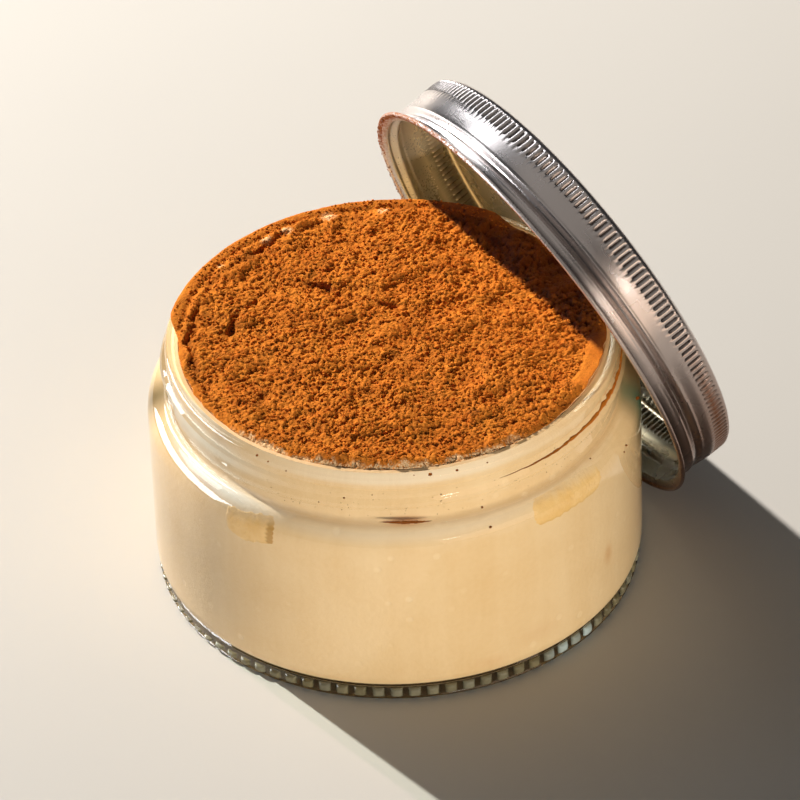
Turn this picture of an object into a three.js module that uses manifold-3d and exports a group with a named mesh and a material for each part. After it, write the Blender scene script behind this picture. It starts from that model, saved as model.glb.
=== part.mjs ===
// Tiramisu in a low screw-top glass jar, with the jar's aluminium lid leaning against it.
// Millimetres, +Z up. The origin is the centre of the jar's base, and the lid stands
// beside the jar, on the side of +X, on the plane that the jar stands on.

import * as THREE from 'three';
import { mergeVertices } from 'three/addons/utils/BufferGeometryUtils.js';
import Module from 'manifold-3d';

// Clearance between pieces that touch, and the flat facets round every turned piece
const GAP = 0.3;
const COLUMNS = 52;

// Glass jar
const BODY_RADIUS = 47;
const JAR_HEIGHT = 50.6;
const WALL = 2.6;
const FLOOR_MIDDLE = 3.8;
const FLOOR_EDGE = 2.4;
const FLOOR_CORNER = 2.2;
const FOOT_RADIUS = 46.7;
const FOOT_HEIGHT = 3.6;
const FOOT_CORNER = 0.7;
const SHOULDER_LOW = 35;
const SHOULDER_HIGH = 40;
const NECK_RADIUS = 43.4;
const LIP_RADIUS = 43;
const LIP_LOW = 47.4;
const LIP_EDGE = 1.1;
const MOUTH_RADIUS = 40.7;

// Screw thread on the neck: ridges that each climb for half a turn
const THREAD_STARTS = [-190, -10];
const THREAD_SPAN = 180;
const THREAD_PITCH = 4.5;
const THREAD_LOW = 44;
const THREAD_DEPTH = 0.75;
const THREAD_HALF_WIDTH = 1.6;
const THREAD_FADE = 25;

// Cream, filled to just under the lip
const CREAM_TOP = 49;

// Cocoa layer: its level, its edge at the glass, and the marks in its surface
const COCOA_LEVEL = 51.5;
const COCOA_EDGE_LEVEL = 50.7;
const COCOA_EDGE_WIDTH = 1.6;
const COCOA_RINGS = 17;
const COCOA_SWELL = 0.22;
const RING_GROOVE = { radius: 37.6, halfWidth: 1.5, depth: 0.8, from: 88, to: 172, fade: 14 };
const COCOA_PITS = [
  { at: [-20, 22.5], radius: 3.2, depth: 1.0 },
  { at: [-10, 25], radius: 2.8, depth: 0.7 },
  { at: [-31, -3], radius: 3.2, depth: 0.8 },
  { at: [-5, -6.5], radius: 2.5, depth: 0.6 },
  { at: [-10, -20], radius: 3.0, depth: 0.6 },
];
const COCOA_CRACK = { from: [-2.5, 20.5], to: [5, 8], halfWidth: 1.8, depth: 0.9 };

// Soaked sponge fingers, lying level in the cream with their blunt noses against the glass.
// Each points out of the middle of the jar, and the left one has one side cut off straight.
const FINGER_HALF_HEIGHT = 5;
const FINGER_NOSE = 3.5;
const FINGER_CLEARANCE = 0.4;
const FINGERS = [
  { name: 'sponge_finger_left', toward: -159.7, start: 15, reach: 45.1, halfWidth: 8.6, cut: 5.2, level: 34 },
  { name: 'sponge_finger_right', toward: -77.3, start: 17, reach: 44.8, halfWidth: 11.4, cut: 20, level: 34.6 },
];

// Aluminium lid, pressed from thin sheet
const CURL_OUTER_RADIUS = 45.7;
const GRIP_RADIUS = 44.4;
const LID_DEPTH = 13.75;
const LID_CORNER = 2.4;
const SHEET = 0.5;
const CURL_RADIUS = 0.5;
const BAND_RADIUS = 44.1;
const BAND_LOW = 1.4;
const GRIP_LOW = 9.2;
const GRIP_HIGH = 12.1;

// Thread rolled into the lid's wall: one turn of a groove, measured from the lid's lowest point
const ROLL_START = 70;
const ROLL_SPAN = 340;
const ROLL_LOW = 2.25;
const ROLL_HIGH = 5.95;
const ROLL_DEPTH = 1.0;
const ROLL_HALF_WIDTH = 1.15;
const ROLL_FADE = 30;

// How the lid leans: its axis above the horizontal, and its edge on the ground
const LID_LEAN = 20.2;
const LID_FOOT = [47.7, 1.3];

const rad = THREE.MathUtils.degToRad;
const { smoothstep, lerp } = THREE.MathUtils;
const wrapDegrees = (angle) => ((angle % 360) + 360) % 360;

// One at the middle, zero at the half width and beyond
function bell(distance, halfWidth) {
  const x = Math.min(Math.abs(distance) / halfWidth, 1);
  return 0.5 + 0.5 * Math.cos(Math.PI * x);
}

// A ridge or groove that climbs round the axis: its strength at an angle and a height
function helix(angle, z, { start, span, pitch, low, halfWidth, fade }) {
  const along = wrapDegrees(angle - start);
  if (along > span) return 0;
  const ends = smoothstep(along, 0, fade) * smoothstep(span - along, 0, fade);
  const middle = low + (pitch * along) / 360;
  return ends * bell(z - middle, halfWidth);
}

// Turns a profile of (radius, height) round +Z. shift(r, z, angle) moves a point in or out.
function turned(profile, columns, shift = () => 0) {
  const geometry = new THREE.LatheGeometry(profile, columns);
  geometry.rotateX(Math.PI / 2);
  const p = geometry.attributes.position;
  for (let i = 0; i < p.count; i += 1) {
    const r = Math.hypot(p.getX(i), p.getY(i));
    if (r > 0) {
      const angle = THREE.MathUtils.radToDeg(Math.atan2(p.getY(i), p.getX(i)));
      const k = 1 + shift(r, p.getZ(i), angle) / r;
      p.setXY(i, p.getX(i) * k, p.getY(i) * k);
    }
  }
  geometry.computeVertexNormals();
  return geometry;
}

function path(draw, divisions) {
  const outline = new THREE.Path();
  draw(outline);
  return outline.getPoints(divisions);
}

// Heights from low to high in equal steps of about the given size
function levels(low, high, step) {
  const count = Math.ceil((high - low) / step);
  return Array.from({ length: count + 1 }, (_, i) => lerp(low, high, i / count));
}

const wasm = await Module();
wasm.setup();

function toSolid(geometry) {
  const bare = geometry.clone();
  bare.deleteAttribute('normal');
  bare.deleteAttribute('uv');
  const merged = mergeVertices(bare, 1e-3);
  return new wasm.Manifold(new wasm.Mesh({
    numProp: 3,
    vertProperties: merged.attributes.position.array,
    triVerts: new Uint32Array(merged.index.array),
  }));
}

function toGeometry(solid) {
  const mesh = solid.getMesh();
  const geometry = new THREE.BufferGeometry();
  geometry.setAttribute('position', new THREE.BufferAttribute(mesh.vertProperties, 3));
  geometry.setIndex(new THREE.BufferAttribute(mesh.triVerts, 1));
  geometry.computeVertexNormals();
  return geometry;
}

// ---- Jar ----

const INNER_RADIUS = BODY_RADIUS - WALL;

// The inside of the jar from its mouth down to the floor, drawn a clearance inside the glass
function inside(outline, clearance) {
  const mouth = MOUTH_RADIUS - clearance;
  const body = INNER_RADIUS - clearance;
  const floor = FLOOR_EDGE + clearance;
  outline.lineTo(mouth, SHOULDER_HIGH + 0.6);
  outline.bezierCurveTo(
    mouth, SHOULDER_HIGH - 1.4 - clearance,
    body, SHOULDER_HIGH - 1 - clearance,
    body, SHOULDER_LOW - 1 - clearance,
  );
  outline.lineTo(body, floor + FLOOR_CORNER);
  outline.quadraticCurveTo(body, floor, body - FLOOR_CORNER, floor);
  outline.lineTo(0, FLOOR_MIDDLE + clearance);
}

function jarGeometry() {
  const base = path((outline) => {
    outline.moveTo(0, 0);
    outline.lineTo(FOOT_RADIUS - FOOT_CORNER, 0);
    outline.quadraticCurveTo(FOOT_RADIUS, 0, FOOT_RADIUS, FOOT_CORNER);
    outline.lineTo(FOOT_RADIUS, FOOT_HEIGHT - 0.4);
    outline.lineTo(FOOT_RADIUS - 0.5, FOOT_HEIGHT);
    outline.quadraticCurveTo(BODY_RADIUS, FOOT_HEIGHT + 0.2, BODY_RADIUS, FOOT_HEIGHT + 1.4);
    outline.lineTo(BODY_RADIUS, SHOULDER_LOW);
    outline.bezierCurveTo(
      BODY_RADIUS, SHOULDER_LOW + 2.2,
      BODY_RADIUS - 0.9, SHOULDER_LOW + 3.6,
      BODY_RADIUS - 2.4, SHOULDER_LOW + 4.1,
    );
    outline.quadraticCurveTo(NECK_RADIUS, SHOULDER_HIGH - 0.7, NECK_RADIUS, SHOULDER_HIGH);
  }, 4);
  const neck = levels(SHOULDER_HIGH, LIP_LOW - 0.4, 0.7).slice(1);
  const lip = path((outline) => {
    outline.moveTo(LIP_RADIUS - 0.3, LIP_LOW);
    outline.lineTo(LIP_RADIUS, LIP_LOW + 0.4);
    outline.lineTo(LIP_RADIUS, JAR_HEIGHT - LIP_EDGE);
    outline.quadraticCurveTo(LIP_RADIUS, JAR_HEIGHT, LIP_RADIUS - LIP_EDGE, JAR_HEIGHT);
    outline.lineTo(MOUTH_RADIUS + LIP_EDGE, JAR_HEIGHT);
    outline.quadraticCurveTo(MOUTH_RADIUS, JAR_HEIGHT, MOUTH_RADIUS, JAR_HEIGHT - LIP_EDGE);
    inside(outline, 0);
  }, 4);
  const profile = [...base, ...neck.map((z) => new THREE.Vector2(NECK_RADIUS, z)), ...lip];

  const thread = (r, z, angle) => {
    if (r < MOUTH_RADIUS + 1 || z <= SHOULDER_HIGH || z >= LIP_LOW) return 0;
    const ridges = THREAD_STARTS.map((start) => helix(angle, z, {
      start,
      span: THREAD_SPAN,
      pitch: THREAD_PITCH,
      low: THREAD_LOW,
      halfWidth: THREAD_HALF_WIDTH,
      fade: THREAD_FADE,
    }));
    return THREAD_DEPTH * Math.max(...ridges);
  };
  return turned(profile, COLUMNS, thread);
}

// ---- Food ----

// The cream's outer form before the sponge fingers are taken out of it
function creamEnvelope() {
  const profile = path((outline) => {
    outline.moveTo(0, CREAM_TOP);
    outline.lineTo(MOUTH_RADIUS - GAP, CREAM_TOP);
    inside(outline, GAP);
  }, 4);
  return turned(profile.reverse(), COLUMNS);
}

// A flattened bar with blunt round ends, grown all round by a clearance, in its place in the jar
function fingerForm({ toward, start, reach, halfWidth, level }, clearance) {
  const length = reach - start;
  const form = new THREE.CapsuleGeometry(FINGER_NOSE, length - 2 * FINGER_NOSE, 4, 20);
  const width = (halfWidth + clearance) / FINGER_NOSE;
  const height = (FINGER_HALF_HEIGHT + clearance) / FINGER_NOSE;
  form.scale(width, 1 + (2 * clearance) / length, height);
  form.rotateZ(-Math.PI / 2);
  form.translate((start + reach) / 2, 0, level);
  form.rotateZ(rad(toward));
  return toSolid(form);
}

// Everything on the kept side of the straight cut along a finger
function keptSide({ toward, cut }, clearance) {
  const side = 2 * BODY_RADIUS;
  const block = new THREE.BoxGeometry(side, side, side);
  block.translate(0, cut + clearance - BODY_RADIUS, SHOULDER_LOW);
  block.rotateZ(rad(toward));
  return toSolid(block);
}

function finger(place, clearance) {
  return fingerForm(place, clearance).intersect(keptSide(place, clearance));
}

function distanceToSegment(x, y, from, to) {
  const line = new THREE.Line3(
    new THREE.Vector3(from[0], from[1], 0),
    new THREE.Vector3(to[0], to[1], 0),
  );
  const point = new THREE.Vector3(x, y, 0);
  return line.closestPointToPoint(point, true, new THREE.Vector3()).distanceTo(point);
}

// Height of the cocoa's surface over a point
function cocoaLevel(x, y) {
  const r = Math.hypot(x, y);
  const angle = wrapDegrees(THREE.MathUtils.radToDeg(Math.atan2(y, x)));
  const edge = smoothstep(MOUTH_RADIUS - GAP - r, 0, COCOA_EDGE_WIDTH);
  const swell = Math.sin(x * 0.23 + 1) * Math.cos(y * 0.19 - 0.6) + 0.6 * Math.sin((x + y) * 0.31);
  const { radius, halfWidth, depth, from, to, fade } = RING_GROOVE;
  const groove = depth * bell(r - radius, halfWidth)
    * smoothstep(angle, from - fade, from + fade)
    * (1 - smoothstep(angle, to - fade, to + fade));
  const pits = COCOA_PITS.map((pit) => (
    pit.depth * bell(Math.hypot(x - pit.at[0], y - pit.at[1]), pit.radius)
  ));
  const fromCrack = distanceToSegment(x, y, COCOA_CRACK.from, COCOA_CRACK.to);
  const crack = COCOA_CRACK.depth * bell(fromCrack, COCOA_CRACK.halfWidth);
  const relief = COCOA_SWELL * swell - Math.max(groove, crack, ...pits);
  return lerp(COCOA_EDGE_LEVEL, COCOA_LEVEL + relief, edge);
}

function cocoaGeometry() {
  const radius = MOUTH_RADIUS - GAP;
  const bottom = CREAM_TOP + GAP;
  const top = levels(0, radius, radius / COCOA_RINGS)
    .map((r) => new THREE.Vector2(r, COCOA_LEVEL))
    .reverse();
  const profile = [new THREE.Vector2(0, bottom), new THREE.Vector2(radius, bottom), ...top];
  const geometry = turned(profile, COLUMNS);
  const p = geometry.attributes.position;
  for (let i = 0; i < p.count; i += 1) {
    if (p.getZ(i) > bottom + GAP) p.setZ(i, cocoaLevel(p.getX(i), p.getY(i)));
  }
  geometry.computeVertexNormals();
  return geometry;
}

// ---- Lid, made with its open end at z = 0 and its top above it ----

function lidWallRadius(z) {
  const flare = lerp(BAND_RADIUS, GRIP_RADIUS, smoothstep(z, ROLL_HIGH, GRIP_LOW));
  return z < BAND_LOW ? BAND_RADIUS - 0.2 : flare;
}

function lidGeometry() {
  const wall = [BAND_LOW - 0.2, ...levels(BAND_LOW, GRIP_LOW, 0.79), GRIP_HIGH];
  const outer = wall.map((z) => new THREE.Vector2(lidWallRadius(z), z));
  const inner = [...outer].reverse().map((p) => new THREE.Vector2(p.x - SHEET, p.y));
  const top = path((outline) => {
    outline.moveTo(GRIP_RADIUS, GRIP_HIGH);
    outline.quadraticCurveTo(GRIP_RADIUS, LID_DEPTH, GRIP_RADIUS - LID_CORNER, LID_DEPTH);
    outline.lineTo(0, LID_DEPTH);
  }, 4).slice(1);
  const underTop = path((outline) => {
    const under = LID_DEPTH - SHEET;
    const radius = GRIP_RADIUS - SHEET;
    outline.moveTo(0, under);
    outline.lineTo(GRIP_RADIUS - LID_CORNER, under);
    outline.quadraticCurveTo(radius, under, radius, GRIP_HIGH);
  }, 3).slice(0, -1);
  const curl = path((outline) => {
    const middle = CURL_OUTER_RADIUS - CURL_RADIUS;
    outline.absarc(middle, CURL_RADIUS, CURL_RADIUS, Math.PI, Math.PI * 2.25);
  }, 4);
  const profile = [...underTop, ...inner, ...curl, ...outer, ...top];

  const roll = (r, z, angle) => {
    if (z < BAND_LOW || z > GRIP_LOW) return 0;
    return -ROLL_DEPTH * helix(angle, z, {
      start: ROLL_START,
      span: ROLL_SPAN,
      pitch: THREAD_PITCH,
      low: ROLL_LOW,
      halfWidth: ROLL_HALF_WIDTH,
      fade: ROLL_FADE,
    });
  };
  return turned(profile, COLUMNS, roll);
}

// ---- Materials and assembly ----

const glass = new THREE.MeshStandardMaterial({
  color: 0xdfe8e2, roughness: 0.05, metalness: 0, transparent: true, opacity: 0.3,
});
const cream = new THREE.MeshStandardMaterial({ color: 0xe9cf9f, roughness: 0.5, metalness: 0 });
const cocoa = new THREE.MeshStandardMaterial({ color: 0xa8601f, roughness: 0.95, metalness: 0 });
const sponge = new THREE.MeshStandardMaterial({ color: 0xe0b870, roughness: 0.8, metalness: 0 });
const aluminium = new THREE.MeshStandardMaterial({ color: 0xc9c6c2, roughness: 0.3, metalness: 1 });

const tiramisu = new THREE.Group();

function add(name, geometry, material, parent = tiramisu) {
  const mesh = new THREE.Mesh(geometry, material);
  mesh.name = name;
  parent.add(mesh);
}

add('jar_glass', jarGeometry(), glass);

const envelope = toSolid(creamEnvelope());
let creamSolid = envelope;
for (const place of FINGERS) {
  creamSolid = creamSolid.subtract(finger(place, FINGER_CLEARANCE));
  add(place.name, toGeometry(finger(place, 0).intersect(envelope)), sponge);
}
add('cream', toGeometry(creamSolid), cream);
add('cocoa_layer', cocoaGeometry(), cocoa);

// The lid stands on its edge: its top turns outwards and up, its open side faces the jar
const lid = new THREE.Group();
const tilt = rad(90 - LID_LEAN);
const curlMiddle = CURL_OUTER_RADIUS - CURL_RADIUS;
lid.rotation.y = tilt;
lid.position.set(
  LID_FOOT[0] - CURL_OUTER_RADIUS * Math.cos(tilt),
  LID_FOOT[1],
  curlMiddle * Math.sin(tilt) - CURL_RADIUS * Math.cos(tilt) + CURL_RADIUS,
);
tiramisu.add(lid);
add('lid', lidGeometry(), aluminium, lid);

export default tiramisu;
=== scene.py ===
"""Tiramisu in a low glass jar, with the jar's aluminium lid leaning against its side.

Sizes below are in millimetres, in the frame of the solids: the origin is the centre of the
jar's base, +Z is up, and the lid leans on the side of +X. Meshes are made in metres.
"""

import itertools
import math

import bpy
import numpy as np
from bpy.props import FloatProperty, FloatVectorProperty, IntProperty, PointerProperty
from mathutils import Matrix, Vector


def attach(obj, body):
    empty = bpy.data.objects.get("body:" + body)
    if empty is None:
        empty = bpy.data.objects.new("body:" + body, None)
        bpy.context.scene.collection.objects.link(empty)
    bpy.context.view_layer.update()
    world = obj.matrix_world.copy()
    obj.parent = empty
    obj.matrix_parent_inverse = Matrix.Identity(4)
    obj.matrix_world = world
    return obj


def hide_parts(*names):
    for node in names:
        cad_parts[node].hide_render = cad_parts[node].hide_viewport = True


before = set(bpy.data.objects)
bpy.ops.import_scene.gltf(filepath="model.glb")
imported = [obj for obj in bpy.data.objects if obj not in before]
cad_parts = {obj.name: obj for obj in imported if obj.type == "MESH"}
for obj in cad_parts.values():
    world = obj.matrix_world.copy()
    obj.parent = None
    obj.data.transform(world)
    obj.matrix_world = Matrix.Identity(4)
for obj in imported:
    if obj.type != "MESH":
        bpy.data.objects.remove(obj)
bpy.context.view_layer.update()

bl_info = {
    "name": "Tiramisu in a glass jar",
    "version": (1, 0, 0),
    "blender": (4, 5, 0),
    "location": "View3D > Sidebar > Tiramisu",
    "description": "Makes the jar, its filling, its cocoa top and its leaning lid",
    "category": "Object",
}

MM = 0.001

# ---- Sizes that the solids have too ----

BODY_RADIUS = 47.0
JAR_HEIGHT = 50.6
WALL = 2.6
FLOOR_MIDDLE = 3.8
FLOOR_EDGE = 2.4
FLOOR_CORNER = 2.2
FOOT_RADIUS = 46.7
FOOT_HEIGHT = 3.6
FOOT_CORNER = 0.7
SHOULDER_LOW = 35.0
SHOULDER_HIGH = 40.0
NECK_RADIUS = 43.4
LIP_RADIUS = 43.0
LIP_LOW = 47.4
LIP_EDGE = 1.1
MOUTH_RADIUS = 40.7

THREAD_STARTS = (-190, -10)
THREAD_SPAN = 180
THREAD_PITCH = 4.5
THREAD_LOW = 44.0
THREAD_DEPTH = 0.75
THREAD_HALF_WIDTH = 1.6
THREAD_FADE = 25

COCOA_LEVEL = 51.5
COCOA_SWELL = 0.22
RING_GROOVE = {"radius": 37.6, "depth": 0.8, "start": 88, "stop": 172, "fade": 14}
COCOA_PITS = (
    {"at": (-20, 22.5), "radius": 3.2, "depth": 1.0},
    {"at": (-10, 25), "radius": 2.8, "depth": 0.7},
    {"at": (-31, -3), "radius": 3.2, "depth": 0.8},
    {"at": (-5, -6.5), "radius": 2.5, "depth": 0.6},
    {"at": (-10, -20), "radius": 3.0, "depth": 0.6},
)

FINGER_HALF_HEIGHT = 5.0
FINGER_NOSE = 3.5
FINGERS = (
    {
        "node": "sponge_finger_left", "toward": -159.7, "start": 15, "reach": 45.1,
        "half_width": 8.6, "cut": 5.2, "level": 34.0,
        "touch_from": -167.0, "touch_to": -151.0,
        "touch_low": (30.1, 33.2), "touch_high": (35.4, 36.8),
    },
    {
        "node": "sponge_finger_right", "toward": -77.3, "start": 17, "reach": 44.8,
        "half_width": 11.4, "cut": 20, "level": 34.6,
        "touch_from": -90.5, "touch_to": -64.0,
        "touch_low": (33.5, 32.9), "touch_high": (37.6, 36.0),
    },
)

CURL_OUTER_RADIUS = 45.7
CURL_RADIUS = 0.5
GRIP_RADIUS = 44.4
BAND_RADIUS = 44.1
BAND_LOW = 1.4
GRIP_LOW = 9.2
GRIP_HIGH = 12.1
LID_DEPTH = 13.75
LID_CORNER = 2.4
SHEET = 0.5
ROLL_START = 70
ROLL_SPAN = 340
ROLL_LOW = 2.25
ROLL_HIGH = 5.95
ROLL_DEPTH = 1.0
ROLL_FADE = 30
ROLL_HALF_WIDTH = 1.9
LID_LEAN = 20.2
LID_FOOT = (47.7, 1.3)

# ---- Finer sizes, of what only shows from close by ----

INTO_GLASS = 0.08
SPONGE_INTO_GLASS = 0.14
FOOT_RECESS = 0.5
RIB_WIDTH = 2.35
RIB_LOW = 0.4
RIB_HIGH = 2.35
SHORT_RIB_HIGH = 0.95
RIB_FRONT_RADIUS = FOOT_RADIUS - 0.03
RIB_SIDE_RADIUS = FOOT_RADIUS - 0.75
RIB_BACK_RADIUS = FOOT_RADIUS - 1.1
KNURL_DEPTH = 0.4
CREAM_TOP = 49.2

# Farther out than these lie the outside of the glass and the side of the cream
OUTSIDE_OF_JAR = MOUTH_RADIUS + 1.0
CREAM_SIDE = 38.0

# The cocoa: how far out it reaches, its levels at the glass, its cover on the lip, its underside
# and the middle height of its grains
COCOA_REACH = 40.35
EDGE_LEVEL = 50.75
SMOOTH_EDGE_LEVEL = 51.5
LIP_COVER = 0.62
UNDERSIDE_RADIUS = 36.5
UNDERSIDE_LEVEL = 49.1
GRAIN_MIDDLE = 1.1

# ---- How finely the meshes are made ----

JAR_COLUMNS = 600
CREAM_COLUMNS = 480
FINGER_ROWS = 110
FINGER_COLUMNS = 128
COCOA_RINGS = 180
COLUMNS_PER_KNURL = 6
RIB_STEPS = 9
SMEAR_COLUMNS = 260
SMEAR_ROWS = 9
LUMP_FLATNESS = 0.8
LUMP_ROUGHNESS = 0.22

# Edges sharper than this many degrees stay sharp
SHARP_EDGE = 40.0
RIB_EDGE = 60.0
NO_EDGE = 180.0

# Random numbers: the side of their tables, and how far the tables' corners are from the axis
TABLE = 256
RIPPLE_SHIFT = 60.0
PEBBLE_SHIFT = 80.0
GRAIN_SEED = 7

# ---- Where the marks are ----

# A fold in the cocoa, from its left end to its right end: x, y and depth
COCOA_FOLD = (
    (-27.5, 16.4, 0.4), (-24.0, 18.5, 1.0), (-21.4, 21.2, 1.3), (-18.0, 22.2, 1.1), (-13.5, 24.3, 0.5),
    (-9.3, 24.4, 0.5), (-5.7, 23.0, 0.3), (-2.7, 20.0, 1.4), (-1.4, 16.4, 1.2), (0.7, 12.9, 1.0),
    (1.5, 9.7, 0.7), (4.5, 6.7, 0.9),
)
FOLD_HALF_WIDTH = 1.2

# Under the lid's shadow the cocoa gets a painted shadow and higher grains: from the first x to the second
DAMP_FROM = (27.8, 29.0)

# Deeper patches in the cocoa, partly a redder tone and partly painted shade: x, y and size
RED_PATCHES = (
    (-32.6, -3.9, 2.6), (-30.5, -1.0, 1.8), (-30.9, 12.5, 2.0), (-3.4, 7.4, 1.3), (-8.4, 8.0, 1.2),
    (-4.2, -6.4, 1.8), (-16.2, 6.0, 2.0), (-10.1, -21.5, 2.2), (-25.3, -3.9, 1.8), (-19.1, -26.7, 2.2),
    (-17.5, -12.5, 1.6), (-9.5, 35.0, 2.4), (8.0, -20.0, 1.8), (-2.0, -30.0, 2.0), (14.0, 22.0, 1.6),
)

# Where cream shows through thin cocoa: x, y and the size of the spot
BARE_SPOTS = (
    (-3.6, 38.4, 1.5), (1.0, 38.2, 1.7), (10.2, 37.6, 2.3), (19.9, 33.0, 1.5), (-15.0, 36.6, 1.0),
    (-27.0, -30.8, 2.0), (-22.5, -33.8, 1.5), (-18.0, -36.2, 1.4), (-12.0, -38.4, 1.6),
    (-5.0, -40.0, 1.5), (1.5, -40.2, 1.2), (-39.5, -9.0, 1.2),
)

# Cocoa grains stuck on the glass: angle round the jar, height, distance from the axis, size
STUCK_GRAINS = (
    (-114.0, 50.45, 42.5, 0.42), (-107.2, 50.45, 42.6, 0.3), (-118.0, 50.5, 42.3, 0.16),
    (-99.2, 50.4, 42.6, 0.18), (-101.6, 41.4, 43.9, 0.26), (-100.8, 38.2, 46.2, 0.34),
    (-111.7, 46.2, 43.5, 0.16), (-68.5, 40.2, 44.8, 0.2), (-63.8, 45.0, 43.7, 0.18),
    (-158.9, 50.3, 42.9, 0.28), (-155.5, 50.0, 43.0, 0.2), (-150.5, 49.2, 43.0, 0.18),
    (-141.5, 44.6, 44.1, 0.18), (-135.3, 46.0, 43.6, 0.22), (-128.4, 47.0, 43.4, 0.16),
    (-44.8, 41.2, 46.9, 0.42), (-56.8, 35.8, 47.0, 0.2), (-55.4, 36.6, 47.0, 0.26),
)

# More grains scattered on the glass: how many, the least and the most angle and height, and sizes
SCATTERED_GRAINS = 90
SCATTERED_FROM = (-165.0, 41.5)
SCATTERED_TO = (-45.0, 47.2)
SCATTERED_SIZES = (0.05, 0.11)

# Grains on the lid's curled edge
LID_GRAINS = 900
LID_GRAIN_SIZES = (0.05, 0.16)

# Smears of cocoa on the neck: angles and heights of both ends, half height, thickness and seed
THREAD_DUST = ((-96.5, -34.0), (46.5, 47.1), 0.25, 0.16, 91)
NECK_STAIN = ((-127.0, -114.0), (40.6, 40.1), 0.36, 0.12, 95)

# Spans round the jar and round the lid, each from an angle, over an angle, with a fade
COVERED_LIP = (18.0, 130.0, 14.0)
SMOOTH_COCOA = (296.0, 32.0, 6.0)
BROKEN_EDGE = (186.0, 92.0, 16.0)
DUSTY_CURL = (95.0, 105.0, 35.0)
FAINTLY_DUSTY_CURL = (120.0, 170.0, 40.0)
DUSTY_INSIDE = (60.0, 110.0, 45.0)

# Where cocoa stains the cream behind the glass: angle, height, half sizes of both, strength
CREAM_STAINS = (
    (-120.6, 39.7, 7.0, 1.5, 0.8),
    (-190.0, 49.6, 34.0, 2.0, 0.6),
    (-63.7, 15.0, 2.4, 3.6, 0.4),
    (-101.0, 5.0, 7.0, 2.2, 0.14),
    (-88.0, 8.0, 9.0, 3.0, 0.1),
    (-176.0, 36.5, 8.0, 1.6, 0.2),
    (-34.0, 22.0, 26.0, 34.0, 0.16),
)

# Where a painted highlight makes the cream whiter behind the glass: angle, height, half sizes of both,
# strength
PALE_CREAM = (
    (-174.0, 38.0, 34.0, 3.0, 1.0),
    (-182.0, 45.0, 36.0, 5.0, 0.6),
    (-120.0, 48.6, 70.0, 1.3, 0.35),
    (-120.0, 37.4, 75.0, 2.2, 0.22),
)

# Patches of painted shade on the glass, and one painted green where the cream leaves the glass and the dark
# shows through: angle, height, half sizes of both, strength, greenness
DEEP_GLASS = (
    (-39.0, 36.5, 11.0, 9.5, 1.0, 1.0),
    (-211.0, 38.5, 17.0, 8.0, 1.0, 0.0),
    (-195.0, 18.0, 62.0, 34.0, 0.7, 0.0),
    (-212.0, 24.0, 26.0, 40.0, 0.6, 0.0),
    (-202.0, 44.0, 42.0, 9.0, 0.8, 0.0),
    (-212.0, 46.5, 52.0, 12.0, 0.95, 0.0),
)

# Where a glint is painted on the ribs of the foot: angle and half width
BRIGHT_RIBS = (-78.0, 11.0)

# Where the ribs of the foot are short, and the clear glass shows the cream: angle and half width
SHORT_RIBS = (-200.0, 62.0)


# ---- Small mathematics ----

def smoothstep(x, low, high):
    t = np.clip((x - low) / (high - low), 0.0, 1.0)
    return t * t * (3.0 - 2.0 * t)


def lerp(a, b, t):
    return a + (b - a) * t


def bell(distance, half_width):
    """One at the middle, zero at the half width and beyond."""
    x = np.minimum(np.abs(distance) / half_width, 1.0)
    return 0.5 + 0.5 * np.cos(np.pi * x)


def window(x, low, high, fade):
    """One from the low end to the high end, falling to zero over a fade on both sides of each."""
    return smoothstep(x, low - fade, low + fade) * (1.0 - smoothstep(x, high - fade, high + fade))


def fading_span(angle, start, span, fade):
    """How far round a span an angle in degrees is, and one inside it, falling to zero at its ends."""
    along = np.mod(angle - start, 360.0)
    ends = smoothstep(along, 0.0, fade) * smoothstep(span - along, 0.0, fade)
    return along, np.where(along > span, 0.0, ends)


def turned_from(degrees, middle):
    """How far an angle is from another, from -180 to 180."""
    return np.mod(degrees - middle + 180.0, 360.0) - 180.0


def round_patch(degrees, height, patch):
    """One at the middle of a patch on the jar's side, zero at its border."""
    middle, level, half_angle, half_height = patch[:4]
    return bell(np.hypot(turned_from(degrees, middle) / half_angle, (height - level) / half_height), 1.0)


def around(degrees, place):
    """One at an angle round the jar, zero at its half width away: both in a pair."""
    return bell(turned_from(degrees, place[0]), place[1])


def on_circle(radius, angle, height):
    """Points at a radius from the axis, an angle in radians and a height."""
    sides = np.broadcast_arrays(radius * np.cos(angle), radius * np.sin(angle), height)
    return np.stack(sides, axis=-1)


def degrees_round(points):
    """The angle of each point round the axis."""
    return np.degrees(np.arctan2(points[:, 1], points[:, 0]))


def random_table(seed, low=-1.0, high=1.0):
    return np.random.default_rng(seed).uniform(low, high, (TABLE, TABLE))


def ripple(x, y, cell, seed):
    """Smooth noise from -1 to 1 whose bumps are about as large as a cell."""
    table = random_table(seed)
    u, v = x / cell, y / cell
    i, j = np.floor(u).astype(int), np.floor(v).astype(int)
    a, b = smoothstep(u - i, 0.0, 1.0), smoothstep(v - j, 0.0, 1.0)
    corners = [table[(i + di) % TABLE, (j + dj) % TABLE] for di in (0, 1) for dj in (0, 1)]
    return lerp(lerp(corners[0], corners[1], b), lerp(corners[2], corners[3], b), a)


def ripple_on_top(x, y, cell, seed):
    """Ripple over the jar's mouth, far enough from its table's edge."""
    return ripple(x + RIPPLE_SHIFT, y + RIPPLE_SHIFT, cell, seed)


def ripple_along(t, lane, seed):
    """Ripple along a line, on a lane of its own."""
    return ripple(t, t * 0.0 + lane, 1.0, seed)


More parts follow.
